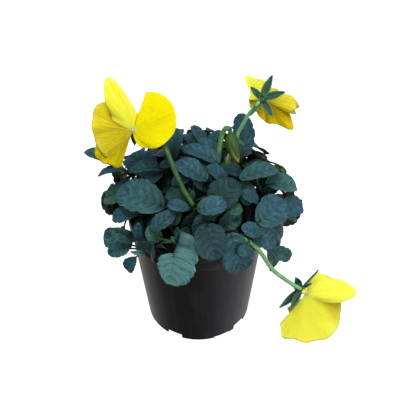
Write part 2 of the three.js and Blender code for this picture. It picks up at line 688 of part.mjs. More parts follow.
const budSides = [[1, 0], [-1, 0], [0, 1], [0, -1]].flatMap(([x, y]) => (
  budBody.map((p) => vec(p.x + budRadius * x, p.y + budRadius * y, p.z))
));
const openSepalSpots = [0.4, 0.6, 0.8, 1].map((share) => (
  vec(...budLine[0]).addScaledVector(openSepalWay, openSepalLong * share)
));
const budStations = [...budPath.getPoints(30), ...budSides, ...openSepalSpots];
placed.push({ owner: 'bud', stalk: budStations, blade: [] });

for (const leaf of visibleLeaves) settle(leaf, placed);
for (const tuft of stipules) {
  for (const leaf of stipuleLeaves(tuft)) settle(leaf, placed);
}
for (const layer of layers) {
  for (const leaf of layerLeaves(layer)) settle(leaf, placed);
}

function shootSolid(shoot) {
  let green = tube(shoot.curve, stemRadius, 4, 7);
  for (const leaf of shoot.leaves) {
    green = green.add(leafSolid(leaf, leaf.sessile ? null : petioleCurve(leaf, shoot)));
  }
  for (const bloom of blooms) {
    if (bloom.shoot === shoot.name) green = green.add(calyx(bloom));
  }
  return shoot.name === 'bud' ? green.add(buds()) : green;
}

// ---- Pot ----------------------------------------------------------------------------------------
// One thin moulded shell: a plain tapered wall, two ledges under the lip, a raised plate and a disc
// that stands on the ground like the foot of the wall. Drain gaps cut the foot, drain holes the plate.
const wallSlope = (potTopRadius - 2 * ledgeStep - potBaseRadius) / (potHeight - ledgeHeight);
const potWallRadius = (z) => potBaseRadius + wallSlope * z;
const drainGaps = [
  { turn: -117, high: 5.5 }, { turn: -63, high: 1.8 }, { turn: -38, high: 5.5 },
  { turn: 63, high: 5.5 }, { turn: 117, high: 1.8 }, { turn: 142, high: 5.5 },
];
const drainGapWidth = 15;
const drainHoleRadius = 4;
const drainHoleRing = 34;
const plateSlope = 2;
const rimChamfer = 0.6;

function turned(profile, sides) {
  const points = profile.map(([r, z]) => new THREE.Vector2(r, z));
  return new THREE.LatheGeometry(points, sides).rotateX(Math.PI / 2);
}

function rod(radius, height, sides) {
  return new THREE.CylinderGeometry(radius, radius, height, sides).rotateX(Math.PI / 2);
}

function potSolid() {
  const ledge = potHeight - ledgeHeight;
  const lip = potHeight - lipHeight;
  const plateTop = plateHeight + wall;
  const profile = [
    [0, 0], [discRadius, 0], [discRadius + plateSlope, plateHeight],
    [potBaseRadius - wall - 1, plateHeight], [potBaseRadius - wall, 0], [potBaseRadius, 0],
    [potWallRadius(ledge), ledge], [potTopRadius - ledgeStep, ledge + rimChamfer],
    [potTopRadius - ledgeStep, lip], [potTopRadius, lip + rimChamfer],
    [potTopRadius, potHeight - rimChamfer], [potTopRadius - rimChamfer, potHeight],
    [potTopRadius - wall, potHeight], [potWallRadius(ledge) - wall, ledge - 2],
    [potWallRadius(plateTop) - wall, plateTop],
    [discRadius + plateSlope - rimChamfer, plateTop], [discRadius - rimChamfer, wall], [0, wall],
  ];
  let shell = solid(turned(profile, potSides));
  for (const gap of drainGaps) {
    const block = new THREE.BoxGeometry(20, drainGapWidth, 2 * gap.high);
    block.translate(potBaseRadius, 0, 0).rotateZ(rad(gap.turn));
    shell = shell.subtract(solid(block));
  }
  for (let i = 0; i < 4; i += 1) {
    const hole = rod(drainHoleRadius, 6 * wall, 10);
    hole.translate(drainHoleRing, 0, plateHeight + wall / 2).rotateZ(rad(45 + 90 * i));
    shell = shell.subtract(solid(hole));
  }
  return shell;
}

// ---- Potting mix --------------------------------------------------------------------------------
// It fills the pot to a little below the lip, with a lumpy top and a plain hole for each stem.
const mixSides = 20;
const lumpHeight = 1.4;
const mixShoulder = 14;
const holeRadius = stemRadius + 1;
const holeDepth = rootDepth + 0.5;

function mixSolid() {
  const foot = plateHeight + wall + mixGap;
  const inside = (z) => potWallRadius(z) - wall - mixGap - 0.3;
  const shoulder = mixTop - mixShoulder;
  const edge = inside(shoulder);
  const rings = [0.75, 0.5, 0.25].map((share) => [edge * share, mixTop]);
  const wallPoints = [[inside(foot), foot], [edge, shoulder], [edge + 0.4, mixTop - 1]];
  const profile = [[0, foot], ...wallPoints, ...rings, [0, mixTop]];
  const geometry = turned(profile, mixSides);
  const places = geometry.attributes.position;
  for (let i = 0; i < places.count; i += 1) {
    const [x, y, z] = [places.getX(i), places.getY(i), places.getZ(i)];
    if (z > mixTop - 0.5) places.setZ(i, z + lumpHeight * Math.sin(0.31 * x + 1) * Math.cos(0.27 * y + 2));
  }
  let mix = solid(geometry);
  for (const { root } of shoots) {
    const hole = rod(holeRadius, 2 * holeDepth, 6).translate(root[0], root[1], mixTop);
    mix = mix.subtract(solid(hole));
  }
  return mix;
}

// ---- The whole plant ----------------------------------------------------------------------------
const plant = new THREE.Group();
plant.add(toMesh('pot', potSolid(), blackPlastic));
plant.add(toMesh('potting_mix', mixSolid(), darkMix));
for (const shoot of shoots) plant.add(toMesh(`shoot_${shoot.name}`, shootSolid(shoot), leafGreen));
for (const bloom of blooms) plant.add(toMesh(`corolla_${bloom.name}`, corolla(bloom), petalYellow));

export default plant;
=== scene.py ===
import math

import bpy
import numpy as np
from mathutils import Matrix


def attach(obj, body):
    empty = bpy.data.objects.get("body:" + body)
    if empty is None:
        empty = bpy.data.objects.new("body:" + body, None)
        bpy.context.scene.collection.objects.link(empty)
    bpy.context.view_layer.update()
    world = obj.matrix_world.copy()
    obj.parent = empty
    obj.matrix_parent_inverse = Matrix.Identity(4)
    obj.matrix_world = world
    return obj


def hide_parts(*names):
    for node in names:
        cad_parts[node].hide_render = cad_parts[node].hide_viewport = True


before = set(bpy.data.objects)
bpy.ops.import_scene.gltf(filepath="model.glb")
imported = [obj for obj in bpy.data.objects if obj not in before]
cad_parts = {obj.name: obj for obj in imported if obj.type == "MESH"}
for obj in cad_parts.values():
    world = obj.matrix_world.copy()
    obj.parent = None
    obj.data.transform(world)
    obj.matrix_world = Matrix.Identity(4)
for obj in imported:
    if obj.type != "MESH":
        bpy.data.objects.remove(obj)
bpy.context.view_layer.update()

# ---- Viewpoint, floor and light ----------------------------------------------------------------------
# The plant stands on plain pale card and is seen from above its front. The light is a wide soft sky with
# a large panel high up and a second one in front on the right. The inside of the mound stays dark, partly
# in shadow and partly by painted shade in the colours of its leaves and stalks.
scene = bpy.context.scene
aim = (0.009, 0.0, 0.1215)
looking_down = math.radians(40.7)
away = 0.600
sensor_wide, lens_long = 36, 60.06
sky_strength = 0.62
floor_reach, floor_glow = 4000, 0.90
mm = 0.001

camera = bpy.data.objects.new("camera", bpy.data.cameras.new("camera"))
camera.location = (
    aim[0], aim[1] - away * math.cos(looking_down), aim[2] + away * math.sin(looking_down)
)
camera.rotation_euler = (math.pi / 2 - looking_down, 0, 0)
camera.data.sensor_width = sensor_wide
camera.data.lens = lens_long
camera.data.clip_start = 0.01
scene.collection.objects.link(camera)
scene.camera = camera
scene.view_settings.view_transform = "Standard"


def light_panel(name, place, toward, width, power, tint):
    lamp = bpy.data.lights.new(name, "AREA")
    lamp.shape, lamp.size = "DISK", width
    lamp.energy, lamp.color = power, tint
    panel = bpy.data.objects.new(name, lamp)
    panel.location = place
    facing = np.array(toward) - np.array(place)
    panel.rotation_euler = (
        math.atan2(math.hypot(facing[0], facing[1]), -facing[2]),
        0,
        math.atan2(facing[1], facing[0]) - math.pi / 2,
    )
    scene.collection.objects.link(panel)


light_panel("high_panel", (-0.20, -0.25, 1.25), (0, 0, 0.12), 0.45, 10.0, (1.0, 0.985, 0.96))
light_panel("front_panel", (0.55, -0.80, 0.50), (0.09, -0.04, 0.07), 0.40, 7.0, (1.0, 0.99, 0.98))


class Wire:
    """One output of a material's nodes. Arithmetic on wires adds Math nodes to that material."""

    def __init__(self, tree, socket):
        self.tree, self.socket = tree, socket

    def math(self, operation, *terms, **settings):
        settings = dict(operation=operation, **settings)
        return node(self.tree, "ShaderNodeMath", settings, dict(enumerate(terms)))

    def __add__(self, other):
        return self.math("ADD", self, other)

    def __radd__(self, other):
        return self.math("ADD", other, self)

    def __sub__(self, other):
        return self.math("SUBTRACT", self, other)

    def __rsub__(self, other):
        return self.math("SUBTRACT", other, self)

    def __mul__(self, other):
        return self.math("MULTIPLY", self, other)

    def __rmul__(self, other):
        return self.math("MULTIPLY", other, self)

    def __pow__(self, other):
        return self.math("POWER", self, other)

    def __abs__(self):
        return self.math("ABSOLUTE", self)

    def fract(self):
        return self.math("FRACT", self)

    def maximum(self, other):
        return self.math("MAXIMUM", self, other)

    def clamped(self):
        return self.math("ADD", self, 0.0, use_clamp=True)

    def between(self, low, high):
        """0 below low, 1 above high, and a smooth rise from one to the other."""
        share = self.math("DIVIDE", self - low, high - low, use_clamp=True)
        return share * share * (3 - 2 * share)


def node(tree, kind, settings, values, output=0):
    """A node with its settings, its sockets' values or wires, and the wire of one of its outputs."""
    made = tree.nodes.new(kind)
    for name, value in settings.items():
        setattr(made, name, value)
    for name, value in values.items():
        if isinstance(value, Wire):
            tree.links.new(value.socket, made.inputs[name])
        else:
            made.inputs[name].default_value = value
    return Wire(tree, made.outputs[output])


def finish_of(name, base, roughness, **uniform):
    """A named Principled finish. base and roughness are values, or functions of the finish's nodes."""
    made = bpy.data.materials.new(name)
    made.use_nodes = True
    tree = made.node_tree
    shader = tree.nodes["Principled BSDF"]
    for socket, value in {"Base Color": base, "Roughness": roughness, **uniform}.items():
        if callable(value):
            tree.links.new(value(tree).socket, shader.inputs[socket])
        else:
            shader.inputs[socket].default_value = value
    return made


def mixed(tree, share, below, above):
    """Two colours mixed by a share from 0 to 1. A colour is a wire or three numbers."""
    colours = [c if isinstance(c, Wire) else (*c, 1) for c in (below, above)]
    # A Mix node has its colours on sockets 6 and 7, and gives the mixed colour on output 2.
    return node(tree, "ShaderNodeMix", {"data_type": "RGBA"}, {0: share, 6: colours[0], 7: colours[1]}, 2)


def part_of(tree, vector, axis):
    return node(tree, "ShaderNodeSeparateXYZ", {}, {0: vector}, axis)


own_space = 3  # the output of a Texture Coordinate node that gives the object's own space


def noise_at(tree, place, scale, detail=3.0, rough=0.6):
    values = {"Vector": place, "Scale": scale, "Detail": detail, "Roughness": rough}
    return node(tree, "ShaderNodeTexNoise", {}, values)


def noise(tree, scale, detail=3.0, rough=0.55, stretch=(1, 1, 1)):
    """Soft noise from 0 to 1 in the object's own space, scale in features per metre."""
    place = node(tree, "ShaderNodeTexCoord", {}, {}, own_space)
    place = node(tree, "ShaderNodeVectorMath", {"operation": "MULTIPLY"}, {0: place, 1: stretch})
    return noise_at(tree, place, scale, detail, rough)


def bumped(tree, height, strength, distance):
    return node(tree, "ShaderNodeBump", {}, {"Height": height, "Strength": strength, "Distance": distance})


def shown(name, points, faces, materials, face_finish=None, marks=None, smooth=True):
    """A mesh object from points in millimetres. marks are named values at each point."""
    mesh = bpy.data.meshes.new(name)
    mesh.from_pydata([tuple(p) for p in np.asarray(points) * mm], [], [tuple(map(int, f)) for f in faces])
    for material in materials:
        mesh.materials.append(material)
    if face_finish is not None:
        mesh.polygons.foreach_set("material_index", np.asarray(face_finish, dtype=np.int32))
    for label, values in (marks or {}).items():
        layer = mesh.attributes.new(label, "FLOAT_VECTOR", "POINT")
        layer.data.foreach_set("vector", np.asarray(values, dtype=np.float32).ravel())
    mesh.polygons.foreach_set("use_smooth", [smooth] * len(mesh.polygons))
    mesh.update()
    made = bpy.data.objects.new(name, mesh)
    scene.collection.objects.link(made)
    return made


def sky_light(tree):
    """Pale blue-white from above and behind, and dark from below in front but for its right side."""
    place = node(tree, "ShaderNodeTexCoord", {}, {}, 0)
    right, away_from_view, up = (part_of(tree, place, axis) for axis in range(3))
    near = mixed(tree, right.between(0.10, 0.60), (0.09, 0.085, 0.08), (0.62, 0.63, 0.70))
    low = mixed(tree, away_from_view.between(-0.25, 0.85), near, (1.5, 1.42, 1.36))
    high = mixed(tree, up.between(0.1, 0.9), (0.30, 0.42, 0.52), (0.62, 0.90, 1.22))
    return mixed(tree, up.between(-0.12, 0.12), low, high)


sky = bpy.data.worlds.new("soft_sky")
sky.use_nodes = True
backdrop = sky.node_tree.nodes["Background"]
sky.node_tree.links.new(sky_light(sky.node_tree).socket, backdrop.inputs["Color"])
backdrop.inputs["Strength"].default_value = sky_strength
scene.world = sky

floor_white = finish_of("floor_card", (0.60, 0.58, 0.56, 1), 0.95, **{
    "Emission Color": (1, 1, 1, 1), "Emission Strength": floor_glow, "Specular IOR Level": 0.0})
floor_corners = [(x * floor_reach, y * floor_reach, 0) for x, y in ((-1, -1), (1, -1), (1, 1), (-1, 1))]
floor = shown("floor", floor_corners, [(0, 1, 2, 3)], [floor_white], smooth=False)
floor.visible_glossy = floor.visible_diffuse = False

# ---- Pot ---------------------------------------------------------------------------------------------
# The real pot is one thin black plastic moulding, blow-formed with a rolled lip, two ledges under it and
# a raised plate that stands on a centre disc. Drain gaps notch its foot and holes pierce the plate.
pot_height, pot_top, pot_base, pot_wall = 118.0, 60.0, 48.2, 1.6
lip_height, ledge_height, ledge_step = 6.5, 16.5, 0.9
disc_radius, plate_height, plate_slope = 22.0, 4.0, 2.0
plate_top = plate_height + pot_wall
ledge_at, lip_at = pot_height - ledge_height, pot_height - lip_height
wall_slope = (pot_top - 2 * ledge_step - pot_base) / ledge_at
bead = 0.4
pot_rounds = 192
drain_gaps = [(-117, 5.5), (-63, 1.8), (-38, 5.5), (63, 5.5), (117, 1.8), (142, 5.5)]  # turn, height
gap_deep, gap_wide = 20, 15
hole_count, hole_ring, hole_radius, hole_cut = 4, 34, 4, 12
sharp_edge = 38


def wall_at(height):
    return pot_base + wall_slope * height


pot_outline = [
    (0.01, 0), (disc_radius - 0.5, 0), (disc_radius, 0.3), (disc_radius + plate_slope, plate_height),
    (pot_base - pot_wall - 1, plate_height), (pot_base - pot_wall, 0.2), (pot_base - pot_wall + 0.3, 0),
    (pot_base - 0.3, 0), (pot_base, 0.3), (wall_at(30), 30), (wall_at(62), 62), (wall_at(ledge_at), ledge_at),
    (wall_at(ledge_at) + 0.35, ledge_at + 0.15), (pot_top - ledge_step + 0.15, ledge_at + 0.5),
    (pot_top - ledge_step + bead, ledge_at + 0.9), (pot_top - ledge_step + bead, ledge_at + 1.2),
    (pot_top - ledge_step, ledge_at + 1.9), (pot_top - ledge_step, lip_at),
    (pot_top - 0.4, lip_at + 0.12), (pot_top + bead, lip_at + 0.7), (pot_top + bead, lip_at + 1.0),
    (pot_top, lip_at + 1.7),
    (pot_top, pot_height - 0.9), (pot_top - 0.2, pot_height - 0.35), (pot_top - 0.6, pot_height - 0.03),
    (pot_top - 0.95, pot_height), (pot_top - pot_wall + 0.25, pot_height - 0.1),
    (pot_top - pot_wall, pot_height - 0.4),
    (wall_at(ledge_at) - pot_wall, ledge_at - 2), (wall_at(plate_top) - pot_wall, plate_top),
    (disc_radius + plate_slope - 0.6, plate_top), (disc_radius - 0.6, pot_wall), (0.01, pot_wall),
]


def turned(outline, rounds):
    """Points and faces of an outline (radius, height) turned about the upright axis."""
    outline = np.array(outline, float)
    turns = np.arange(rounds) * 2 * math.pi / rounds
    points = np.stack([
        np.outer(np.cos(turns), outline[:, 0]), np.outer(np.sin(turns), outline[:, 0]),
        np.tile(outline[:, 1], (rounds, 1)),
    ], axis=-1).reshape(-1, 3)
    faces = []
    size = len(outline)
    for i in range(rounds):
        j = (i + 1) % rounds
        for k in range(size - 1):
            faces.append((i * size + k, j * size + k, j * size + k + 1, i * size + k + 1))
    ends = [tuple(i * size for i in range(rounds))[::-1], tuple(i * size + size - 1 for i in range(rounds))]
    return points, faces + ends


def black_plastic_colour(tree):
    streaks = noise(tree, 90, 4, 0.6, (1, 1, 0.16))
    dust = noise(tree, 700, 2, 0.7)
    share = (streaks.between(0.42, 0.75) * 0.55 + dust.between(0.55, 0.8) * 0.25).clamped()
    return mixed(tree, share, (0.010, 0.0095, 0.0098), (0.036, 0.033, 0.032))


def black_plastic_roughness(tree):
    return 0.30 + 0.16 * noise(tree, 120, 3, 0.6, (1, 1, 0.2))


def black_plastic_relief(tree):
    return bumped(tree, noise(tree, 260, 3, 0.5, (1, 1, 0.35)), 0.16, 0.0006)


black_plastic = finish_of("black_pot_plastic", black_plastic_colour, black_plastic_roughness,
                          Normal=black_plastic_relief, **{"Specular IOR Level": 0.5})
pot = shown("nursery_pot", *turned(pot_outline, pot_rounds), [black_plastic])


def cut_away(target, cutter):
    cut = target.modifiers.new("cut", "BOOLEAN")
    cut.operation, cut.solver, cut.object = "DIFFERENCE", "EXACT", cutter
    with bpy.context.temp_override(object=target, active_object=target, selected_objects=[target]):
        bpy.ops.object.modifier_apply(modifier="cut")
    bpy.data.objects.remove(cutter)


def block_at(turn, centre, size):
    turn = math.radians(turn)
    points = []
    for corner in range(8):
        x, y, z = ((1 if corner >> axis & 1 else -1) * size[axis] / 2 + centre[axis] for axis in range(3))
        points.append((x * math.cos(turn) - y * math.sin(turn), x * math.sin(turn) + y * math.cos(turn), z))
    faces = [(0, 2, 3, 1), (4, 5, 7, 6), (0, 1, 5, 4), (2, 6, 7, 3), (0, 4, 6, 2), (1, 3, 7, 5)]
    return points, faces


cutters, cutter_faces = [], []
for turn, high in drain_gaps:
    points, faces = block_at(turn, (pot_base, 0, 0), (gap_deep, gap_wide, 2 * high))
    cutter_faces += [[v + len(cutters) for v in face] for face in faces]
    cutters += points
for i in range(hole_count):
    turn = math.radians((i + 0.5) * 360 / hole_count)
    spot = (hole_ring * math.cos(turn), hole_ring * math.sin(turn))
    points, faces = turned([(hole_radius, 0), (hole_radius, hole_cut)], 32)
    cutter_faces += [[v + len(cutters) for v in face] for face in faces]
    cutters += [(x + spot[0], y + spot[1], z) for x, y, z in points]
cut_away(pot, shown("cutters", cutters, cutter_faces, []))
for face in pot.data.polygons:
    face.use_smooth = True
pot.data.set_sharp_from_angle(angle=math.radians(sharp_edge))
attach(pot, "root")
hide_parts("pot")

# ---- Potting mix -------------------------------------------------------------------------------------
# Dark crumbly peat with bits of bark and a few white grains of perlite, filled loosely to below the lip.
# Its top is lumpy and sinks a little at the wall.
mix_top, mix_gap, mix_lift, lump_height = 107.0, 0.65, 0.35, 1.4
mix_shoulder = mix_top - 14
bits, bit_reach, white_every = 620, 54, 9
scatter = np.random.default_rng(11)


def lumps(x, y):
    return lump_height * math.sin(0.31 * x + 1) * math.cos(0.27 * y + 2)


mix_rounds = 150
mix_rings = 46
mix_radius = wall_at(mix_shoulder) - pot_wall - mix_gap
mix_foot = plate_top + mix_lift
mix_foot_radius = wall_at(plate_top) - pot_wall - mix_gap
mix_outline = [(0.01, mix_foot), (mix_foot_radius, mix_foot), (mix_radius, mix_shoulder)]
for k in range(mix_rings + 1):
    mix_outline.append((mix_radius * math.sqrt(1 - k / mix_rings) + 0.01, mix_top - 0.6 * (k == 0)))
mix_points, mix_faces = turned(mix_outline, mix_rounds)
crumb = scatter.normal(0, 1, (len(mix_points), 3))
for i, (x, y, z) in enumerate(mix_points):
    if z > mix_top - 1:
        rough = np.clip(crumb[i] * 0.42, -0.9, 0.9)
        mix_points[i] = (x + rough[0] * 0.6, y + rough[1] * 0.6, z + lumps(x, y) + rough[2])


def peat_colour(tree):
    grain = noise(tree, 900, 4, 0.7)
    fibre = noise(tree, 320, 3, 0.6)
    brown = mixed(tree, grain.between(0.35, 0.7), (0.0075, 0.0048, 0.0030), (0.045, 0.027, 0.015))
    return mixed(tree, fibre.between(0.60, 0.78), brown, (0.085, 0.052, 0.028))


peat = finish_of("peat_mix", peat_colour, 0.95,
                 Normal=lambda tree: bumped(tree, noise(tree, 1400, 4, 0.7), 0.9, 0.001))
perlite = finish_of("perlite_grain", (0.62, 0.60, 0.55, 1), 0.9,
                    Normal=lambda tree: bumped(tree, noise(tree, 2500, 2, 0.6), 0.5, 0.0005))


def crumb_at(place, size, stretch):
    """A small lump with eight corners moved at random, rounded by its smooth shading."""
    corners = np.array([[x, y, z] for x in (-1, 1) for y in (-1, 1) for z in (-1, 1)], float)
    turn = np.linalg.qr(scatter.normal(0, 1, (3, 3)))[0]
    corners = (corners * stretch * size / 2 * scatter.uniform(0.6, 1.0, (8, 3))) @ turn + place
    return corners, [(0, 1, 3, 2), (4, 6, 7, 5), (0, 4, 5, 1), (2, 3, 7, 6), (0, 2, 6, 4), (1, 5, 7, 3)]


mix_points, mix_faces = list(mix_points), list(mix_faces)
mix_finish = [0] * len(mix_faces)
for i in range(bits):
    reach, turn = bit_reach * math.sqrt(scatter.uniform()), scatter.uniform(0, 2 * math.pi)
    x, y = reach * math.cos(turn), reach * math.sin(turn)
    white = i % white_every == 0
    size = scatter.uniform(1.2, 2.6) if white else scatter.uniform(1.4, 3.6)
    stretch = (1, 1, 0.9) if white else (1.6, 0.8, 0.45)
    points, faces = crumb_at((x, y, mix_top + lumps(x, y) + 0.25 * size), size, stretch)
    mix_faces += [tuple(v + len(mix_points) for v in face) for face in faces]
    mix_points += list(points)
    mix_finish += [1 if white else 0] * len(faces)
mix = shown("potting_mix_crumbs", mix_points, mix_faces, [peat, perlite], mix_finish)
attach(mix, "root")
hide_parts("potting_mix")

# ---- Leafy shoots ------------------------------------------------------------------------------------
# Each shoot is a soft green stem rooted in the mix, with thin scalloped blue-green leaves on long stalks
# and small lobed stipules at its tip. A leaf grows from the nearest stem that leaves it room.
dome_centre, dome_radii = np.array([3.0, 0, 128]), np.array([84.0, 72, 58])
stem_radius, petiole_radius = 1.6, 0.9
blade_half = 0.24
clearance, own_clearance, stem_stations = 3.5, 2.4, 12
rib_lean, rib_curve, rib_pitch = 0.42, 1.15, 4.2
rise_tweaks, shoots_tried = (0, 7, -7, 14, -14, 21, -21), 5
golden_turn = 137.508
rosette_leaves, tip_leaves = 6, 7
shoots = [
    dict(name="front_left", root=(-13, -12), stem=((-24, -32, 121), (-40, -54, 120))),
    dict(name="left", root=(-19, -1), stem=((-34, -14, 126), (-47, -22, 144))),
    dict(name="back_left", root=(-17, 9), stem=((-38, 12, 128), (-54, 16, 146))),
    dict(name="flower_left", root=(-4, -8), stem=((-6, -22, 130), (-4, -39, 158))),
    dict(name="upper_left", root=(-7, 3), stem=((-20, -3, 134), (-27, -4, 158))),
    dict(name="top", root=(1, 7), stem=((3, 6, 136), (8, 5, 166))),
    dict(name="bud", root=(6, 0), stem=((13, -6, 134), (16, -8, 158))),
    dict(name="flower_top", root=(11, 8), stem=((25, 10, 134), (32, 13, 164))),
    dict(name="right", root=(18, 1), stem=((38, -6, 127), (53, -16, 146))),
    dict(name="front_right", root=(14, -9), stem=((33, -27, 122), (50, -41, 130))),
    dict(name="flower_low", root=(5, -16), stem=((12, -38, 124), (20, -50, 138))),
    dict(name="front", root=(-5, -20), stem=((-8, -44, 123), (-14, -60, 136))),
    dict(name="back", root=(0, 18), stem=((-1, 36, 130), (-2, 50, 152))),
    dict(name="back_right", root=(12, 18), stem=((34, 30, 128), (48, 40, 144))),
    dict(name="back_low_left", root=(-10, 18), stem=((-28, 34, 128), (-42, 44, 142))),
]
# A leaf's shade paints its light: above 0 painted shade on a leaf in shadow, below 0 painted light on a lit
# one.
visible_leaves = [
    dict(at=(-17.5, -71, 132.3), turn=-117, rise=-60, long=24.5, wide=30, lobe=0.45, skew=0.87, shape=0.65,
         bend=8, fold=0.1, tone=0.6, shade=-0.5),
    dict(at=(-31, -41, 159), turn=160, rise=15, long=37, wide=28, shade=0.1),
    dict(at=(-54, -25, 156), turn=165, rise=-10, long=27, wide=20),
    dict(at=(-52, -39, 147), turn=175, rise=-10, long=19, wide=13),
    dict(at=(-57, -44, 119), turn=165, rise=10, long=24, wide=19),
    dict(at=(-52, -44, 125), turn=-150, rise=60, long=21, wide=13),
    dict(at=(-58, -47, 116), turn=-165, rise=0, long=16, wide=11),
    dict(at=(-49, -55, 115), turn=-165, rise=-35, long=19, wide=12, shape=1.35, lobe=0),
    dict(at=(-35, -57, 147), turn=15, rise=55, long=23, wide=13, lobe=0),
    dict(at=(-30, -57, 136), turn=-160, rise=60, long=15, wide=12),
    dict(at=(-46, -55, 132), turn=-20, rise=75, long=17, wide=8, lobe=0),
    dict(at=(-37, -62, 127), turn=-90, rise=80, long=16, wide=18, fold=0.5),
    dict(at=(-73, 20, 153), turn=165, rise=35, long=26, wide=17),
    dict(at=(-64, 12, 152), turn=-170, rise=-12, long=21, wide=14),
    dict(at=(-37, -12, 168), turn=135, rise=15, long=31, wide=24),
    dict(at=(-31, -12, 172), turn=-165, rise=5, long=24, wide=14, fold=0.5),
    dict(at=(-17, -8, 174), turn=-155, rise=20, long=14, wide=10),
    dict(at=(-21, 4, 168), turn=85, rise=22, long=42, wide=15, fold=0.5),
    dict(at=(-7, 16, 172), turn=110, rise=25, long=20, wide=8),
    dict(at=(7, 7, 177), turn=110, rise=22, long=33, wide=10, lobe=0, fold=0.5),
    dict(at=(8, 7, 177), turn=65, rise=25, long=26, wide=8, lobe=0),
    dict(at=(14, -12, 181), turn=155, rise=22, long=28, wide=17),
    dict(at=(5, -28, 176), turn=155, rise=28, long=26, wide=18, shade=0.0),
    dict(at=(18, -1, 176), turn=145, rise=35, long=23, wide=13),
    dict(at=(39, 15, 169), turn=90, rise=25, long=40, wide=19, lobe=0.1, bend=12),
    dict(at=(36, 10, 171), turn=-40, rise=15, long=28, wide=16),
    dict(at=(39, -22, 172), turn=30, rise=5, long=33, wide=16, shade=-0.05),
    dict(at=(60, -14, 158), turn=15, rise=-5, long=26, wide=20, shade=-0.1),
    dict(at=(53, -5, 163), turn=5, rise=10, long=15, wide=9, shade=-0.1),
    dict(at=(52, -47, 149), turn=35, rise=22, long=24, wide=25, lobe=0.25, bend=20),
    dict(at=(67, -30, 142), turn=30, rise=0, long=28, wide=18),
    dict(at=(68, -27, 137), turn=20, rise=-25, long=24, wide=9, lobe=0),
    dict(at=(59, -39, 137), turn=15, rise=-30, long=31, wide=15),
    dict(at=(49, -58, 143), turn=-160, rise=45, long=17, wide=12, shape=1.1, lobe=0.05),
    dict(at=(47, -54, 137), turn=0, rise=-10, long=19, wide=19),
    dict(at=(54, -52, 123), turn=0, rise=-25, long=31, wide=12, shape=1.4, lobe=0),
    dict(at=(60, -36, 113), turn=-5, rise=-50, long=37, wide=19, bend=30),
    dict(at=(28, -66, 143), turn=-60, rise=-60, long=28, wide=25, lobe=0.25, shade=0.15),
    dict(at=(40, -69, 142), turn=-125, rise=-30, long=11, wide=10, lobe=0),
    dict(at=(9, -63, 152), turn=-75, rise=-45, long=24, wide=26, lobe=0.25, shade=0.7),
    dict(at=(4, -53, 165), turn=0, rise=20, long=20, wide=16, shade=0.0),
    dict(at=(24, -48, 161), turn=-20, rise=10, long=12, wide=11),
    dict(at=(14, -46, 162), turn=35, rise=35, long=27, wide=24, shade=0.85),
    dict(at=(22, -27, 172), turn=170, rise=40, long=18, wide=13, shade=0.3),
    dict(at=(47, -37, 160), turn=-170, rise=45, long=15, wide=11),
    dict(at=(-8, -50, 163), turn=175, rise=20, long=15, wide=10),
    dict(at=(-10, -40, 163), turn=150, rise=35, long=16, wide=16),
    dict(at=(-5, -54, 149), turn=45, rise=70, long=17, wide=18, shade=0.7),
    dict(at=(20, -53, 147), turn=5, rise=35, long=17, wide=14, shade=0.6),
]
leaf_usual = dict(bend=35, fold=0.25, lobe=0.18, skew=0, shape=0.95, fixed=False, sessile=False, shoot=None,
                  tone=None, shade=None)


def unit(v):
    return v / np.linalg.norm(v)


def heading(turn, rise):
    turn, rise = math.radians(turn), math.radians(rise)
    return np.array([math.cos(turn) * math.cos(rise), math.sin(turn) * math.cos(rise), math.sin(rise)])


def turned_about(v, axis, angle):
    c, s = math.cos(angle), math.sin(angle)
    return v * c + np.cross(axis, v) * s + axis * (axis @ v) * (1 - c)


def spline(points):
    """A smooth line through the points, as a function of an array of places from 0 to 1."""
    points = np.array(points, float)
    before, after = 2 * points[0] - points[1], 2 * points[-1] - points[-2]
    padded = np.vstack([before, points, after])
    spans = len(points) - 1

    def line(at):
        places = []
        for share in np.atleast_1d(at):
            span = min(int(share * spans), spans - 1)
            w = share * spans - span
            p0, p1, p2, p3 = padded[span:span + 4]
            d0, d1, d2 = (float((b - a) @ (b - a)) ** 0.25 for a, b in ((p0, p1), (p1, p2), (p2, p3)))
            t1 = ((p1 - p0) / d0 - (p2 - p0) / (d0 + d1) + (p2 - p1) / d1) * d1
            t2 = ((p2 - p1) / d1 - (p3 - p1) / (d1 + d2) + (p3 - p2) / d2) * d1
            square, cube = 3 * (p2 - p1) - 2 * t1 - t2, 2 * (p1 - p2) + t1 + t2
            places.append(p1 + t1 * w + square * w * w + cube * w ** 3)
        return np.array(places)

    return line


def bow(start, middle, end):
    def line(at):
        t = np.atleast_1d(at)[:, None]
        return start * (1 - t) ** 2 + middle * 2 * t * (1 - t) + end * t * t

    return line


def leaf_axes(leaf):
    along = heading(leaf["turn"], leaf["rise"])
    middle = np.array(leaf["at"], float) + along * leaf["long"] / 2
    outward = unit((middle - dome_centre) / dome_radii / dome_radii)
    face = outward * 0.6 + np.array([0, 0, 0.4])
    face = unit(face - along * (face @ along))
    return along, face, np.cross(face, along)


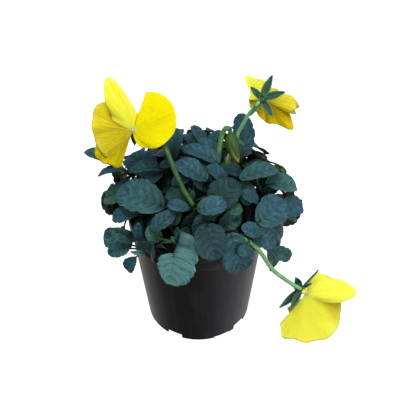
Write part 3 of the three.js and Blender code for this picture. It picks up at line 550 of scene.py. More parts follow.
def blade_points(leaf, axes, s, t, fine=0.0):
    """Points of the blade at places s up it and t across it. fine adds quilting and a waved margin."""
    along, face, across = axes
    tooth = 0.09 * (abs(np.sin(math.pi * (s - 0.06) / 0.28)) - 0.5)
    if fine:
        tooth = tooth + 0.08 * (abs(np.sin(math.pi * (s - 0.06) / 0.14)) - 0.5) * np.sin(math.pi * s) ** 0.5
    inner = np.clip(s, 1e-6, 1 - 1e-6)
    skew = leaf["skew"] * np.sign(t)
    profile = np.sin(math.pi * inner ** leaf["shape"]) ** (0.5 * (1 - 0.4 * skew))
    side = leaf["wide"] / 2 * profile * (1 + tooth * abs(t) ** 3) * (1 + 0.3 * skew) * t
    bend = math.radians(leaf["bend"])
    back = leaf["lobe"] * leaf["long"] * (1 - s) ** 3 * t * t * (1 + skew)
    lift = leaf["fold"] * abs(side)
    if fine:
        rib = abs(((s - rib_lean * abs(t) ** rib_curve) * rib_pitch) % 1 - 0.5) * 2
        lift = lift + fine * leaf["long"] * (
            0.011 * (1 - rib ** 2) * (1 - abs(t) ** 4) * profile
            + 0.016 * abs(t) ** 3 * np.sin(9 * s + 2.4 * np.sign(t) + leaf["at"][0])
            - 0.012 * np.exp(-(t / 0.07) ** 2)
        )
    cos, sin = np.cos(bend * s), np.sin(bend * s)
    x = leaf["long"] * sin / bend - back * cos + lift * sin
    z = -leaf["long"] * (1 - cos) / bend + back * sin + lift * cos
    return np.array(leaf["at"], float) + x[..., None] * along + side[..., None] * across + z[..., None] * face


for shoot in shoots:
    x, y = shoot["root"]
    upright = [(x, y, mix_top + z) for z in (-14, -7, 0, 4)]
    shoot["line"] = spline(upright + list(shoot["stem"]))
    shoot["stations"] = shoot["line"](np.arange(stem_stations + 1) / stem_stations)
    shoot["leaves"] = []


def petiole_line(leaf, shoot):
    along, face, _ = leaf_axes(leaf)
    foot = np.array(leaf["at"], float)
    wanted = foot - 12 * along + np.array([0, 0, -8])
    stations = shoot["stations"][shoot["stations"][:, 2] > mix_top + 3]
    start = stations[np.argmin(((stations - wanted) ** 2).sum(1))]
    reach = np.linalg.norm(start - foot)
    return bow(start, foot - 0.4 * reach * along - 0.1 * reach * face, foot)


sample_s, sample_t = (g.ravel() for g in np.meshgrid(
    [0, 0.12, 0.27, 0.42, 0.57, 0.72, 0.87, 1], [-1, -0.66, -0.33, 0, 0.33, 0.66, 1], indexing="ij"))
nowhere = np.zeros((0, 3))
placed = []


def place_taken(owner, stalk, blade):
    points = np.vstack([stalk, blade])
    middle = points.mean(0)
    reach = math.sqrt(((points - middle) ** 2).sum(1).max())
    return dict(owner=owner, stalk=stalk, blade=blade, middle=middle, reach=reach)


def apart(points, others, gap):
    if not len(points) or not len(others):
        return True
    return bool((((points[:, None] - others[None]) ** 2).sum(2) > gap * gap).all())


def is_clear(shape, gap, own_gap):
    points = np.vstack([shape["stalk"], shape["blade"]])
    out = np.hypot(points[:, 0], points[:, 1])
    in_mix = (points[:, 2] < mix_top + 2) & (out < pot_top)
    in_wall = (points[:, 2] < pot_height + 2) & (out > pot_top - 6) & (out < pot_top + 2)
    if (in_mix | in_wall | (points[:, 2] <= 20)).any():
        return False
    for other in placed:
        if np.linalg.norm(shape["middle"] - other["middle"]) > shape["reach"] + other["reach"] + gap:
            continue
        if other["owner"] == shape["owner"]:
            if not apart(shape["blade"], other["blade"], own_gap):
                return False
        elif not (apart(points, other["stalk"], gap) and apart(points, other["blade"], gap)):
            return False
    return True


def settle(leaf, gap=clearance, own_gaps=None):
    foot = np.array(leaf["at"], float)
    if leaf["shoot"]:
        nearest = [shoot for shoot in shoots if shoot["name"] == leaf["shoot"]]
    else:
        by_distance = sorted(shoots, key=lambda s: np.linalg.norm(s["stations"] - foot, axis=1).min())
        nearest = by_distance[:shoots_tried]
    if own_gaps is None:
        own_gaps = [own_clearance, 0] if leaf["fixed"] or leaf["sessile"] else [own_clearance]
    for own_gap in own_gaps:
        for shoot in nearest:
            for tweak in rise_tweaks:
                trial = {**leaf, "rise": leaf["rise"] + tweak}
                stalk = nowhere if leaf["sessile"] else petiole_line(trial, shoot)(np.arange(2, 9) / 8)
                blade = blade_points(trial, leaf_axes(trial), sample_s, sample_t)
                shape = place_taken(shoot["name"], stalk, blade)
                if is_clear(shape, gap, own_gap):
                    placed.append(shape)
                    shoot["leaves"].append(trial)
                    return


# The blooms' stalks and petals take their places first, so their sizes are given here too.
petal_usual = dict(spread=50, lean=0, twist=0, cup=0.08, waves=2, pale=0.3, deep=0.0, fold=0.0)
blooms = [
    dict(
        name="left", shoot="flower_left", throat=(-48.5, -15, 211), turn=-90, rise=32, roll=0,
        stalk_radius=1.9,
        stalk=[(-4, -40, 155), (-3.5, -47, 165), (-10, -42, 175), (-16, -36, 187), (-25, -19, 200),
               (-36, -7, 206), (-45, -3, 208)],
        petals=[
            dict(angle=127, spread=54, lean=15, cup=0.06, pale=0.75, deep=0.15,
                 rim=[13, 18, 29, 44.5, 34.5, 21, 17, 9, 5]),
            dict(angle=186, spread=58, lean=3, cup=0.12, waves=3, pale=0.35, deep=0.55,
                 rim=[29, 33, 33, 31.5, 30.5, 30, 29.5, 28.5, 18]),
            dict(angle=225, spread=25, lean=-5, pale=0.0, deep=0.6,
                 rim=[32, 34, 35.5, 36, 35.5, 34, 32, 33, 31]),
            dict(angle=-9, spread=80, lean=7, cup=0.05, waves=3, pale=0.0, deep=0.12,
                 rim=[4, 12.5, 18.3, 24.5, 30, 34.5, 36.4, 35.5, 31]),
            dict(angle=32, spread=42, lean=-6, rim=[12, 18, 23, 27, 28, 27, 25, 20, 14]),
        ],
        sepals=[(126, -20, 13, 5, 0), (198, -20, 14, 5, 0), (270, -20, 14, 5, 0), (342, -20, 14, 5, 0),
                (54, -20, 13, 5, 0)],
    ),
    dict(
        name="top", shoot="flower_top", throat=(51, 11, 222), turn=84, rise=-44, roll=180, stalk_radius=1.35,
        stalk=[(31, 12, 160), (33, 12, 188), (37, 10, 200), (42, 6, 214), (47.5, 4, 223)],
        petals=[
            dict(angle=-126, spread=60, lean=16, pale=1.0, deep=0.1,
                 rim=[10, 10, 10.5, 13.5, 25, 20, 17.5, 15, 13]),
            dict(angle=-30, spread=44, lean=30, waves=3, pale=0.55, deep=0.5,
                 rim=[16, 15.5, 15, 17, 21, 26, 30.5, 29, 25]),
            dict(angle=10, spread=20, lean=40, waves=3, pale=0.25, deep=0.8,
                 rim=[31, 34, 37.5, 35, 36.5, 28, 26, 25, 24]),
            dict(angle=61, spread=44, lean=30, cup=0.12, waves=4, pale=0.0, deep=1.0,
                 rim=[22, 29, 34.5, 25.5, 21, 19, 15, 12, 10.5]),
            dict(angle=135, spread=48, lean=24, pale=0.2, deep=0.6,
                 rim=[15, 12, 10.5, 10.5, 10.5, 11, 10.5, 10.5, 10]),
        ],
        sepals=[(-67, -18, 20, 6.4, 0), (-13, -18, 20, 6.2, 0), (59, -18, 20, 6, 0), (119, 4, 17, 4, 0),
                (-142, -18, 13, 5, 0)],
    ),
    dict(
        name="low", shoot="flower_low", throat=(94.5, -44, 60), turn=-13, rise=-37, roll=-40,
        stalk_radius=1.8,
        stalk=[(18, -48, 132), (28, -53, 138), (40, -51, 130), (50, -51, 119), (63, -51, 96), (77, -47, 78),
               (88, -44, 66)],
        petals=[
            dict(angle=90, spread=56, lean=41, twist=-106, pale=1.0,
                 rim=[8, 16, 35.5, 46.5, 38, 27.5, 23, 21, 8]),
            # The lip's fold paints the shadow of the hood on it.
            dict(angle=-90, spread=54, lean=54, twist=90, cup=0.1, waves=3, pale=0.85, deep=0.2, fold=0.8,
                 rim=[36, 45.5, 44.5, 46, 48, 49, 46.5, 42.5, 38]),
            dict(angle=62, spread=42, lean=40, twist=-60, pale=0.8, rim=[18, 24, 30, 34, 34, 30, 26, 22, 16]),
            dict(angle=5, spread=54, lean=48, cup=0.16, waves=3, pale=0.5,
                 rim=[22, 29, 33, 35, 36, 35, 33, 29, 22]),
            dict(angle=-48, spread=50, lean=52, twist=46, cup=0.16, waves=3, pale=0.5,
                 rim=[22, 29, 33, 36, 37, 36, 33, 29, 22]),
        ],
        sepals=[(102, 6, 23, 3, 0), (120, 24, 11, 4, 0), (282, -6, 25, 6.5, -45), (256, 6, 20, 6.5, -40),
                (48, -36, 11, 9, 0), (342, -54, 13, 4, 0)],
    ),
]
bud_stalk = [(16, -8, 155), (17, -6.5, 164), (17.5, -4, 175), (18, -2, 184), (19.5, 1, 192),
             (21, 3, 197), (23.5, 4, 200.5), (26, 4, 199), (27, 3.5, 196)]
bud_line = [(26.5, 3.5, 197), (28.5, 0, 187), (34, -3, 170)]
budlet_line = [(17, -6, 156), (23.5, -6.5, 163), (25.3, -8, 184)]
bud_radius, budlet_radius, bud_stalk_radius = 5.2, 2.5, 2.2
bud_sepal_way, bud_sepal_long, bud_sepal_wide = (15.5, -2, -12), 17, 5


def bloom_axes(bloom):
    front = heading(bloom["turn"], bloom["rise"])
    right = turned_about(unit(np.cross([0, 0, 1], front)), front, math.radians(bloom["roll"]))
    return front, right, np.cross(front, right)


def petal_axes(petal, axes):
    front, right, top = axes
    angle, lean = math.radians(petal["angle"]), math.radians(petal["lean"])
    flat = right * math.cos(angle) + top * math.sin(angle)
    across = top * math.cos(angle) - right * math.sin(angle)
    along = flat * math.cos(lean) + front * math.sin(lean)
    across = turned_about(across, along, math.radians(petal["twist"]))
    return along, across, np.cross(along, across)


def rim_reach(rim, v):
    """How far a petal reaches at v, from -1 to 1 across it, smoothly through its nine given reaches."""
    rim = np.array(rim, float)
    place = (v + 1) / 2 * (len(rim) - 1)
    i = np.minimum(np.floor(place).astype(int), len(rim) - 2)
    w = place - i
    a, b, c, d = rim[np.maximum(i - 1, 0)], rim[i], rim[i + 1], rim[np.minimum(i + 2, len(rim) - 1)]
    return b + 0.5 * w * (c - a + w * (2 * a - 5 * b + 4 * c - d + w * (3 * (b - c) + d - a)))


def petal_points(petal, axes, throat, u, v, fine=0.0):
    along, across, face = axes
    reach = rim_reach(petal["rim"], v)
    angle = math.radians(petal["spread"]) * v
    wave = np.sin(petal["waves"] * math.pi * v + petal["angle"])
    height = petal["long"] * u * u * (0.035 * wave - petal["cup"] * (0.4 + v * v))
    if fine:
        phase = petal["angle"] * 0.7
        height = height + fine * petal["long"] * (1 + 1.6 * petal["deep"]) * (
            0.010 * u * np.sin(13 * v + phase + 1.5 * np.sin(4 * u)) * np.exp(-((u - 0.6) / 0.32) ** 2)
            + 0.010 * u ** 5 * np.sin(11 * v + 2 * phase) * (1 + 0.6 * np.sin(7 * v + phase))
        )
        reach = reach * (1 + 0.008 * np.sin(15 * v + phase) * u)
    return (throat + (u * reach * np.cos(angle))[..., None] * along
            + (u * reach * np.sin(angle))[..., None] * across + height[..., None] * face)


for shoot in shoots:
    stalk = shoot["line"](np.arange(31) / 30)
    placed.append(place_taken(shoot["name"], stalk[stalk[:, 2] > mix_top + 1], nowhere))
for bloom in blooms:
    axes, throat = bloom_axes(bloom), np.array(bloom["throat"], float)
    placed.append(place_taken(bloom["shoot"], spline(bloom["stalk"])(np.arange(51) / 50), nowhere))
    outs, turns_across = [0.1, 0.3, 0.5, 0.65, 0.8, 0.9, 1], np.linspace(-1, 1, 9)
    u, v = (g.ravel() for g in np.meshgrid(outs, turns_across, indexing="ij"))
    bloom["petals"] = [{**petal_usual, **petal, "long": max(petal["rim"])} for petal in bloom["petals"]]
    spots = [petal_points(petal, petal_axes(petal, axes), throat, u, v) for petal in bloom["petals"]]
    placed.append(place_taken("corolla_" + bloom["name"], nowhere, np.vstack(spots)))
bud_middle = spline(bud_line)(np.arange(7) / 6)
bud_spots = [spline(bud_stalk + bud_line[1:])(np.arange(31) / 30)]
for way in ((1, 0, 0), (-1, 0, 0), (0, 1, 0), (0, -1, 0)):
    bud_spots.append(bud_middle + bud_radius * np.array(way))
bud_spots.append(bud_line[0] + np.outer((0.4, 0.6, 0.8, 1), unit(np.array(bud_sepal_way)) * bud_sepal_long))
placed.append(place_taken("bud", np.vstack(bud_spots), nowhere))

for leaf in visible_leaves:
    settle({**leaf_usual, **leaf, "fixed": True})
# Two rosettes of narrow pale young leaves, one at the front left and one in the middle.
for name, foot, reach in (("front_left", (-41, -56, 120), 13), ("flower_left", (-4, -40, 160), 11)):
    for i in range(rosette_leaves):
        stipule = dict(at=foot, turn=-150 + 50 * i, rise=25 + 20 * (i % 2), long=reach - i % 3, wide=4,
                       lobe=0, shoot=name, sessile=True, tone=1.0, shade=-0.5)
        settle({**leaf_usual, **stipule})

draw_state = 20
draw_step, draw_shift, draw_range = 1664525, 1013904223, 2 ** 32


def draw(low, high):
    """The next number of a fixed run of draws, the same run that the solid model takes."""
    global draw_state
    draw_state = (draw_state * draw_step + draw_shift) % draw_range
    return low + (high - low) * draw_state / draw_range


def layer_of_leaves(scale, count, low, lengths):
    """Leaves on a spiral over the mound, pointing down its side."""
    for i in range(count):
        height = 1 - (i + 0.5) / count * (1 - low)
        ring, around = math.sqrt(1 - height * height), math.radians(i * golden_turn)
        out = np.array([ring * math.cos(around), ring * math.sin(around), height])
        down = np.array([math.cos(around) * height, math.sin(around) * height, -ring])
        slope = unit(down * dome_radii)
        long = draw(*lengths)
        turn = math.degrees(math.atan2(slope[1], slope[0])) + draw(-40, 40)
        rise = math.degrees(math.asin(slope[2])) + draw(8, 26)
        at = out * dome_radii * scale + dome_centre - heading(turn, rise) * long / 2
        wide = long * draw(0.66, 0.86)
        yield {**leaf_usual, "at": tuple(at), "turn": turn, "rise": rise, "long": long, "wide": wide}


for layer in ((0.95, 58, -0.35, (24, 31)), (0.76, 25, -0.1, (17, 23))):
    for leaf in layer_of_leaves(*layer):
        settle(leaf)
# Smaller young leaves fill the mound further in, where the light hardly reaches.
for layer in ((0.86, 90, -0.5, (13, 19)), (0.62, 60, -0.3, (14, 20)), (0.45, 40, 0.0, (12, 17))):
    for leaf in layer_of_leaves(*layer):
        settle(leaf, gap=1.6, own_gaps=[1.2])


class Growth:
    """Gathers the points, faces, finishes and marks of everything that grows in one piece."""

    def __init__(self):
        self.points, self.faces, self.finish, self.blade, self.kind = [], [], [], [], []
        self.count = 0

    def add(self, points, faces, finish, blade=None, kind=(0.5, 0, 0)):
        points = np.asarray(points, float).reshape(-1, 3)
        self.faces += [tuple(v + self.count for v in face) for face in faces]
        self.finish += [finish] * len(faces)
        self.points.append(points)
        self.blade.append(np.zeros_like(points) if blade is None else np.asarray(blade, float).reshape(-1, 3))
        self.kind.append(np.tile(kind, (len(points), 1)))
        self.count += len(points)

    def made(self, name, materials, node_name, slot):
        piece = shown(name, np.vstack(self.points), self.faces, materials, self.finish,
                      {"blade": np.vstack(self.blade), "kind": np.vstack(self.kind)})
        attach(piece, "root")
        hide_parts(node_name)


def sheet_faces(rows, columns, flip=False):
    faces = []
    for i in range(rows - 1):
        for j in range(columns - 1):
            a = i * columns + j
            face = (a, a + columns, a + columns + 1, a + 1)
            faces.append(face[::-1] if flip else face)
    return faces


def thin_sheet(growth, grid, half, finishes, blade, kind):
    """Both faces and the edge of a thin sheet, given as a grid of points."""
    rows, columns, _ = grid.shape
    normal = np.cross(np.gradient(grid, axis=0), np.gradient(grid, axis=1))
    normal /= np.linalg.norm(normal, axis=2, keepdims=True) + 1e-9
    for sign, finish in ((1, finishes[0]), (-1, finishes[1])):
        growth.add(grid + sign * half * normal, sheet_faces(rows, columns, sign < 0), finish, blade, kind)
    size = rows * columns
    top, under = growth.count - 2 * size, growth.count - size
    border = [(i, 0) for i in range(rows)] + [(rows - 1, j) for j in range(1, columns)]
    border += [(i, columns - 1) for i in range(rows - 2, -1, -1)]
    border += [(0, j) for j in range(columns - 2, 0, -1)]
    for (i, j), (k, m) in zip(border, border[1:] + border[:1]):
        a, b = i * columns + j, k * columns + m
        growth.faces.append((top + a, under + a, under + b, top + b))
        growth.finish.append(finishes[0])


def tube(growth, line, radii, finish, sides=8, kind=(0.5, 0, 0)):
    """A round stalk along a line of points, with a radius at each of them."""
    line = np.asarray(line, float)
    radii = np.broadcast_to(radii, len(line))
    tangents = np.gradient(line, axis=0)
    tangents /= np.linalg.norm(tangents, axis=1, keepdims=True)
    side = unit(np.cross(tangents[0], [0.31, 0.82, 0.47]))
    rings, marks = [], []
    around = np.arange(sides) * 2 * math.pi / sides
    for i, (p, tangent, radius) in enumerate(zip(line, tangents, radii)):
        side = unit(side - tangent * (side @ tangent))
        other = np.cross(tangent, side)
        rings.append(p + radius * (np.cos(around)[:, None] * side + np.sin(around)[:, None] * other))
        marks.append(np.stack([np.full(sides, i / len(line)), np.sin(around), np.cos(around)], 1))
    faces = []
    for i in range(len(line) - 1):
        for j in range(sides):
            a, b = i * sides + j, i * sides + (j + 1) % sides
            faces.append((a, b, b + sides, a + sides))
    faces += [tuple(range(sides))[::-1], tuple((len(line) - 1) * sides + j for j in range(sides))]
    growth.add(np.array(rings), faces, finish, np.array(marks), kind)


# Rows and columns lie closer together near a blade's ends and margin, where it curves most.
blade_rows = (0.5 - 0.5 * np.cos(np.linspace(0, math.pi, 44))) * 0.6 + np.linspace(0, 1, 44) * 0.4
blade_columns = np.sin(np.linspace(-math.pi / 2, math.pi / 2, 15)) * 0.5 + np.linspace(-1, 1, 15) * 0.5


def add_leaf(growth, leaf, shoot, tone):
    s, t = np.meshgrid(blade_rows, blade_columns, indexing="ij")
    grid = blade_points(leaf, leaf_axes(leaf), s, t, fine=1.0)
    thin_sheet(growth, grid, blade_half, (0, 1), np.stack([s, t, s * 0], -1), (tone, 0, leaf["shade"]))
    if not leaf["sessile"]:
        line = petiole_line(leaf, shoot)(np.linspace(0, 1, 12))
        inward = line[-1] + (grid[9, 7] - line[-1]) * 0.9
        line = np.vstack([line, inward - leaf_axes(leaf)[1] * 0.35])
        radii = np.append(np.linspace(1.05, 0.8, 12) * petiole_radius, 0.25)
        tube(growth, line, radii, 2, 7, (tone, 0, 0))


def mark(tree, name, axis):
    """One of the three numbers that a mesh's points carry under a name."""
    return part_of(tree, node(tree, "ShaderNodeAttribute", {"attribute_name": name}, {}, 1), axis)


def leaf_colour(tree):
    """Blue-green, darker to the foot, with paler ribs and margin. Tone 1 is greener. Light and dark streaks
    along the side ribs are painted sheen on the ridges and painted shade in the creases.

    A shade above 0 darkens the whole leaf and one below 0 lightens it: painted shade on leaves that lie in
    shadow, random darkness on others, painted light on lit leaves, and the paler green of young ones. Leaves
    deep in the mound get painted shade too.
    """
    up, across = mark(tree, "blade", 0), abs(mark(tree, "blade", 1))
    tone, shade = mark(tree, "kind", 0), mark(tree, "kind", 2)
    ribs = leaf_ribs(up, across)
    streak = leaf_streak(tree, up, across)
    mottle = noise(tree, 260, 3, 0.6)
    blue = mixed(tree, mottle.between(0.3, 0.75), (0.013, 0.046, 0.056), (0.033, 0.091, 0.120))
    green = mixed(tree, mottle.between(0.3, 0.75), (0.020, 0.074, 0.036), (0.050, 0.142, 0.080))
    ground = mixed(tree, tone.between(0.35, 0.95), blue, green)
    ground = mixed(tree, (1 - up).between(0.55, 1.0) * 0.4, ground, (0.016, 0.050, 0.022))
    ground = mixed(tree, across.between(0.93, 1.0) * 0.3, ground, (0.07, 0.13, 0.10))
    # A shade below 0 lightens the leaf: painted light on lit leaves, and the paler green of young ones.
    ground = mixed(tree, (0.0 - shade).clamped(), ground, (0.130, 0.270, 0.240))
    # Painted sheen on the ridges and painted shade in the creases, along the streaks of the relief.
    ground = mixed(tree, streak.between(0.52, 0.70) * 0.55, ground, (0.105, 0.200, 0.245))
    ground = mixed(tree, (1 - streak).between(0.50, 0.70) * 0.65, ground, (0.007, 0.026, 0.020))
    ground = mixed(tree, ribs * 0.14, ground, (0.090, 0.190, 0.150))
    # Painted shade: leaves deep in the mound, and leaves with a shade above 0, darken toward near black.
    dim = (painted_shade_in_mound(tree) * 0.92).maximum(shade)
    return mixed(tree, dim, ground, (0.005, 0.014, 0.007))


def painted_shade_in_mound(tree):
    """0 on the mound's outside and 1 well inside it: the share of painted shade on leaves and stalks deep in
    the mound, where little light reaches.
    """
    place = node(tree, "ShaderNodeTexCoord", {}, {}, own_space)
    centre, radii = dome_centre * mm, dome_radii * mm
    place = node(tree, "ShaderNodeVectorMath", {"operation": "SUBTRACT"}, {0: place, 1: centre})
    place = node(tree, "ShaderNodeVectorMath", {"operation": "DIVIDE"}, {0: place, 1: radii})
    out = node(tree, "ShaderNodeVectorMath", {"operation": "LENGTH"}, {0: place}, 1)
    return 1 - out.between(0.78, 1.04)


def leaf_ribs(up, across):
    """1 on the midrib and on side ribs, which run far forward to the scallops, and 0 between them."""
    slanted = abs(((up - rib_lean * across ** rib_curve) * rib_pitch).fract() - 0.5)
    inside = (1 - across.between(0.5, 1.0)) * (1 - up.between(0.75, 0.95))
    side = slanted.between(0.42, 0.495) * inside * 0.8
    middle = (1 - across.between(0.02, 0.07)) * (1 - up.between(0.45, 1.0) * 0.8)
    return (side + middle).clamped()


def leaf_streak(tree, up, across):
    """Soft streaks that fan from the midrib the way the side ribs run."""
    along_rib = (up - rib_lean * across ** rib_curve) * 9
    return noise_at(tree, node(tree, "ShaderNodeCombineXYZ", {}, {0: along_rib, 1: across * 1.5}), 1.0)


def leaf_relief(tree):
    up, across = mark(tree, "blade", 0), abs(mark(tree, "blade", 1))
    grain = noise(tree, 520, 3, 0.6) * 0.6
    height = leaf_streak(tree, up, across) * 1.6 + grain - leaf_ribs(up, across) * 0.8
    return bumped(tree, height, 0.75, 0.0009)


def leaf_roughness(tree):
    return 0.34 + 0.2 * noise(tree, 500, 2, 0.5)


leaf_top = finish_of("leaf_top", leaf_colour, leaf_roughness, Normal=leaf_relief,
                     **{"Specular IOR Level": 0.24, "Specular Tint": (0.60, 0.90, 1, 1)})


def underside_colour(tree):
    """Yellower green than the top, with pale ribs, and darkened by painted shade inside the mound."""
    up, across = mark(tree, "blade", 0), abs(mark(tree, "blade", 1))
    mottle = noise(tree, 240, 3, 0.6).between(0.3, 0.75)
    ground = mixed(tree, mottle, (0.034, 0.070, 0.012), (0.070, 0.124, 0.024))
    ground = mixed(tree, leaf_ribs(up, across) * 0.45, ground, (0.12, 0.19, 0.08))
    return mixed(tree, painted_shade_in_mound(tree) * 0.80, ground, (0.005, 0.010, 0.003))


leaf_under = finish_of("leaf_underside", underside_colour, 0.62)


def stalk_colour(tree):
    """Mottled dark green, with painted light that makes most flower stalks pale green where lit, and painted
    shade that makes stalks near black inside the mound.
    """
    pale = mark(tree, "kind", 2)
    mottle = noise(tree, 300, 3, 0.6)
    dark = mixed(tree, mottle.between(0.3, 0.7), (0.014, 0.040, 0.006), (0.036, 0.090, 0.015))
    light = mixed(tree, mottle.between(0.3, 0.7), (0.150, 0.36, 0.11), (0.25, 0.52, 0.20))
    ground = mixed(tree, pale, dark, light)
    return mixed(tree, painted_shade_in_mound(tree) * (1 - pale) * 0.75, ground, (0.006, 0.012, 0.003))


stalk_green = finish_of("stalk_green", stalk_colour, 0.45,
                        Normal=lambda tree: bumped(tree, noise(tree, 1500, 2, 0.5), 0.15, 0.0003),
                        **{"Specular IOR Level": 0.22})


growths = {shoot["name"]: Growth() for shoot in shoots}
tones = np.random.default_rng(5)
shades = np.random.default_rng(11)
for shoot in shoots:
    growth = growths[shoot["name"]]
    line = shoot["line"](np.linspace(0, 1, 40))
    tube(growth, line, np.linspace(1.05, 0.75, 40) * stem_radius, 2, 10)
    for leaf in shoot["leaves"]:
        tone = leaf["tone"] if leaf["tone"] is not None else tones.uniform(0, 0.8)
        shade = leaf["shade"] if leaf["shade"] is not None else shades.uniform(-0.05, 0.5)
        add_leaf(growth, {**leaf, "shade": shade}, shoot, tone)
    tip = line[-1]
    for i in range(tip_leaves):
        young = dict(at=tuple(tip - np.array([0, 0, 1.5])), turn=51 * i + 20, rise=35 + 22 * (i % 3),
                     long=8 + 3 * (i % 3), wide=3 + (i % 3), lobe=0, fold=0.6, bend=30, sessile=True,
                     shade=-0.3)
        add_leaf(growth, {**leaf_usual, **young}, shoot, 0.95)

# ---- Flower stalks, calyces and sepals ---------------------------------------------------------------
# A flower hangs on a long bare stalk that hooks over at its end. Behind the petals five pointed green
# sepals spread from a small cup, each with a blunt ear that reaches back along the stalk.
throat_radius, receptacle_radius, throat_gap = 2.6, 2.6, 0.4
sepal_foot, sepal_half = 0.6, 0.25
ear_lean, ear_long, ear_wide, ear_curl = -62, 5.5, 3.4, -1.2
# The left bloom's stalk is painted dark as shaded and the other flower stalks pale green as lit: painted
# shade and painted light.
shaded_stalk_pale, lit_stalk_pale = 0.05, 1.0


def sepal_colour(tree):
    """Deep green, bluer to the tip and paler at the margin. Bud sepals are olive but for their tips."""
    up, across, olive = mark(tree, "blade", 0), abs(mark(tree, "blade", 1)), mark(tree, "kind", 1)
    ground = mixed(tree, up.between(0.3, 1.0), (0.022, 0.062, 0.022), (0.032, 0.105, 0.058))
    ground = mixed(tree, across.between(0.6, 1.0) * 0.6, ground, (0.10, 0.23, 0.15))
    ground = mixed(tree, (1 - across.between(0.02, 0.14)) * 0.3, ground, (0.09, 0.19, 0.09))
    return mixed(tree, olive * (1 - up.between(0.65, 1.0) * 0.7), ground, (0.034, 0.068, 0.006))


sepal_green = finish_of("sepal_green", sepal_colour, 0.5, **{"Specular IOR Level": 0.25},
                        Normal=lambda tree: bumped(tree, noise(tree, 900, 2, 0.5), 0.3, 0.0004))


def ball_mesh(centre, radii, rings=10, rounds=14):
    u = np.linspace(0.02, math.pi - 0.02, rings)
    v = np.arange(rounds) * 2 * math.pi / rounds
    points = np.array([
        [(math.sin(a) * math.cos(b), math.sin(a) * math.sin(b), math.cos(a)) for b in v] for a in u])
    faces = []
    for i in range(rings - 1):
        for j in range(rounds):
            a, b = i * rounds + j, i * rounds + (j + 1) % rounds
            faces.append((a, a + rounds, b + rounds, b))
    faces += [tuple(range(rounds)), tuple((rings - 1) * rounds + j for j in range(rounds))[::-1]]
    return points.reshape(-1, 3) * radii + centre, faces


def add_sepal(growth, cup, axes, long, wide, curl=2.0):
    along, across, face = axes
    s, t = np.meshgrid(np.linspace(0, 1, 16), np.linspace(-1, 1, 7), indexing="ij")
    width = wide / 2 * np.sin(math.pi * np.clip(0.12 + 0.88 * s, 0, 1) ** 0.92) ** 0.85
    height = -abs(t) * 0.7 - curl * s * s + 0.3 * np.cos(t * math.pi)
    grid = (cup + (sepal_foot + s * (long - sepal_foot))[..., None] * along
            + (width * t)[..., None] * across + height[..., None] * face)
    thin_sheet(growth, grid, sepal_half, (3, 3), np.stack([s, t, s * 0], -1), (0.5, 0, 0))


for bloom in blooms:
    growth = growths[bloom["shoot"]]
    axes = bloom_axes(bloom)
    cup = np.array(bloom["throat"], float) - axes[0] * (throat_radius + receptacle_radius + throat_gap)
    line = spline(bloom["stalk"] + [tuple(cup)])(np.linspace(0, 1, 90))
    pale = shaded_stalk_pale if bloom["name"] == "left" else lit_stalk_pale
    tube(growth, line, np.linspace(1.1, 0.9, 90) * bloom["stalk_radius"], 2, 12, (0.5, 0, pale))
    growth.add(*ball_mesh(cup, receptacle_radius), 3)
    growth.add(*ball_mesh(cup + axes[0] * 2.4, receptacle_radius * 0.8), 3)
    for angle, lean, long, wide, twist in bloom["sepals"]:
        add_sepal(growth, cup, petal_axes(dict(angle=angle, lean=lean, twist=twist), axes), long, wide)
        ear = petal_axes(dict(angle=angle, lean=ear_lean, twist=0), axes)
        add_sepal(growth, cup - axes[0] * 0.5, ear, ear_long, ear_wide, ear_curl)

# ---- Buds --------------------------------------------------------------------------------------------
# One bud nods from a hooked stalk, its sepals still closed round the petals with a hint of yellow between
# them. A smaller one stands upright beside it. Both grow from a leafy shoot, and the shoots end here.
bud_sepal_half = 0.2


def add_bud(growth, line, radius, bulge, olive):
    path = spline(line)
    start, end = path(0)[0], path(1)[0]
    tangent = unit(end - start)
    side = unit(np.cross(tangent, [0, 0, 1]))
    other = np.cross(tangent, side)
    places = np.linspace(0.01, 0.99, 22)
    tube(growth, path(places), radius * 0.8 * np.sin(math.pi * places ** bulge) ** 0.7, 4, 16)
    for k in range(5):
        s, t = np.meshgrid(np.linspace(0, 1, 18), np.linspace(-1, 1, 9), indexing="ij")
        reach = 0.03 + s * (0.82 + 0.14 * (k % 2))
        spread = 2 * math.pi * k / 5 + t * np.clip(1 - s, 0, 1) ** 0.5 * 0.8
        spine = path(reach.ravel()).reshape(*reach.shape, 3)
        wide = radius * np.sin(math.pi * reach ** bulge) ** 0.7 + 0.3 + radius * 0.25 * s ** 3
        grid = spine + (wide * np.cos(spread))[..., None] * side + (wide * np.sin(spread))[..., None] * other
        thin_sheet(growth, grid, bud_sepal_half, (3, 3), np.stack([s, t, s * 0], -1), (0.5, olive, 0))
        ear = dict(angle=72 * k, lean=-50, twist=0)
        add_sepal(growth, start, petal_axes(ear, (tangent, side, other)), radius * 0.9, radius * 0.8, -0.6)


growth = growths["bud"]
stalk_line = spline(bud_stalk)(np.linspace(0, 1, 90))
tube(growth, stalk_line, np.linspace(1.15, 0.8, 90) * bud_stalk_radius, 2, 14, (0.5, 0, 0.25))
add_bud(growth, bud_line, bud_radius, 0.9, 0.9)
spare_way = unit(np.array(bud_sepal_way, float))
spare_face = unit(np.cross(spare_way, [0, 1, 0.3]))
add_sepal(growth, np.array(bud_line[0], float), (spare_way, np.cross(spare_face, spare_way), spare_face),
          bud_sepal_long, bud_sepal_wide)
tube(growth, spline(budlet_line[:2])(np.linspace(0, 1, 12)), petiole_radius, 2, 8, (0.5, 0, 0.6))
add_bud(growth, budlet_line[1:], budlet_radius, 0.8, 0.2)

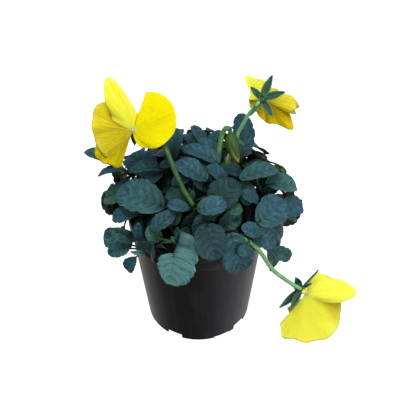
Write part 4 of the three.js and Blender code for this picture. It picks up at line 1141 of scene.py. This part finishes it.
bud_yellow = finish_of("bud_petal", (0.30, 0.28, 0.02, 1), 0.6)
foliage = [leaf_top, leaf_under, stalk_green, sepal_green, bud_yellow]
for shoot in shoots:
    growths[shoot["name"]].made("leafy_" + shoot["name"], foliage, "shoot_" + shoot["name"], "foliage")

# ---- Petals ------------------------------------------------------------------------------------------
# Five broad velvety petals make each bloom, thin as paper, lemon yellow to orange-yellow. The pale lemon is
# partly painted light on lit petals, and the orange-yellow partly painted shade on petals that face away from
# the light, with a painted shadow where the low bloom's hood overhangs its lip. Fine creases run out from the
# throat to a gently ruffled edge, and pale hairs line the throat.
petal_half, throat_ball, hair_count = 0.14, 1.6, 70
claw_reach, claw_radii = (-5, -2.5, 0.5), (3.2, 3.0, 1.6)


def petal_colour(tree):
    """Rich or pale yellow, streaked outward, with orange-yellow where a petal is deep. Pale is partly painted
    light and deep partly painted shade, and fold paints the shadow of an overhanging petal.
    """
    out, across = mark(tree, "blade", 0), mark(tree, "blade", 1)
    pale, deep, fold = (mark(tree, "kind", axis) for axis in range(3))
    streak = node(tree, "ShaderNodeCombineXYZ", {}, {0: out * 1.6, 1: across * 14.0, 2: pale * 9.0})
    fine = noise_at(tree, streak, 1.4)
    rich = mixed(tree, fine.between(0.35, 0.75), (0.78, 0.56, 0.0012), (0.85, 0.70, 0.002))
    light = mixed(tree, fine.between(0.35, 0.75), (0.82, 0.73, 0.036), (0.88, 0.83, 0.10))
    ground = mixed(tree, pale, rich, light)
    toward_throat = 1 - out.between(0.35, 1.0) * 0.3
    # Painted shade: deep petals turn orange-yellow, most toward the throat.
    shade = deep.between(0.0, 0.75) * (0.55 + 0.45 * fine.between(0.40, 0.65)) * toward_throat
    # Painted shadow: fold darkens one side of the lip, where the hood overhangs it.
    shade = shade.maximum(fold * across.between(0.25, 0.95))
    ground = mixed(tree, shade, ground, (0.28, 0.150, 0.005))
    ground = mixed(tree, out.between(0.85, 1.0) * 0.25 * pale, ground, (0.86, 0.84, 0.20))
    return mixed(tree, (1 - out.between(0.04, 0.20)) * 0.6, ground, (0.50, 0.53, 0.10))


def petal_relief(tree):
    out, across = mark(tree, "blade", 0), mark(tree, "blade", 1)
    fine = noise_at(tree, node(tree, "ShaderNodeCombineXYZ", {}, {0: out * 1.2, 1: across * 22.0}), 1.2)
    cross = noise_at(tree, node(tree, "ShaderNodeCombineXYZ", {}, {0: out * 9.0, 1: across * 5.0}), 1.0, 2.0)
    return bumped(tree, fine + cross * 0.6, 0.6, 0.0011)


petal_yellow = finish_of("petal_yellow", petal_colour, 0.75, Normal=petal_relief, **{
    "Subsurface Weight": 0.30, "Subsurface Radius": (1.0, 0.62, 0.05), "Subsurface Scale": 0.003,
    "Specular IOR Level": 0.02,
})
throat_hair = finish_of("throat_beard", (0.66, 0.64, 0.36, 1), 0.8)

for bloom in blooms:
    growth = Growth()
    axes, throat = bloom_axes(bloom), np.array(bloom["throat"], float)
    u, v = np.meshgrid(np.linspace(0.03, 1, 26), np.linspace(-1, 1, 61), indexing="ij")
    for petal in bloom["petals"]:
        grid = petal_points(petal, petal_axes(petal, axes), throat, u, v, fine=1.0)
        kind = (petal["pale"], petal["deep"], petal["fold"])
        thin_sheet(growth, grid, petal_half, (0, 0), np.stack([u, v, u * 0], -1), kind)
    growth.add(*ball_mesh(throat, throat_ball), 0, kind=(1.0, 0, 0))
    claw = np.array([throat + axes[0] * reach for reach in claw_reach])
    tube(growth, claw, claw_radii, 0, 12, (1.0, 0, 0))
    beard = np.random.default_rng(3)
    for _ in range(hair_count):
        way = unit(beard.normal(0, 0.6, 3) + axes[0])
        root = throat + way * 1.3
        tube(growth, np.array([root, root + way * beard.uniform(0.8, 1.8)]), (0.14, 0.05), 1, 4)
    growth.made("bloom_" + bloom["name"], [petal_yellow, throat_hair], "corolla_" + bloom["name"], "petal")
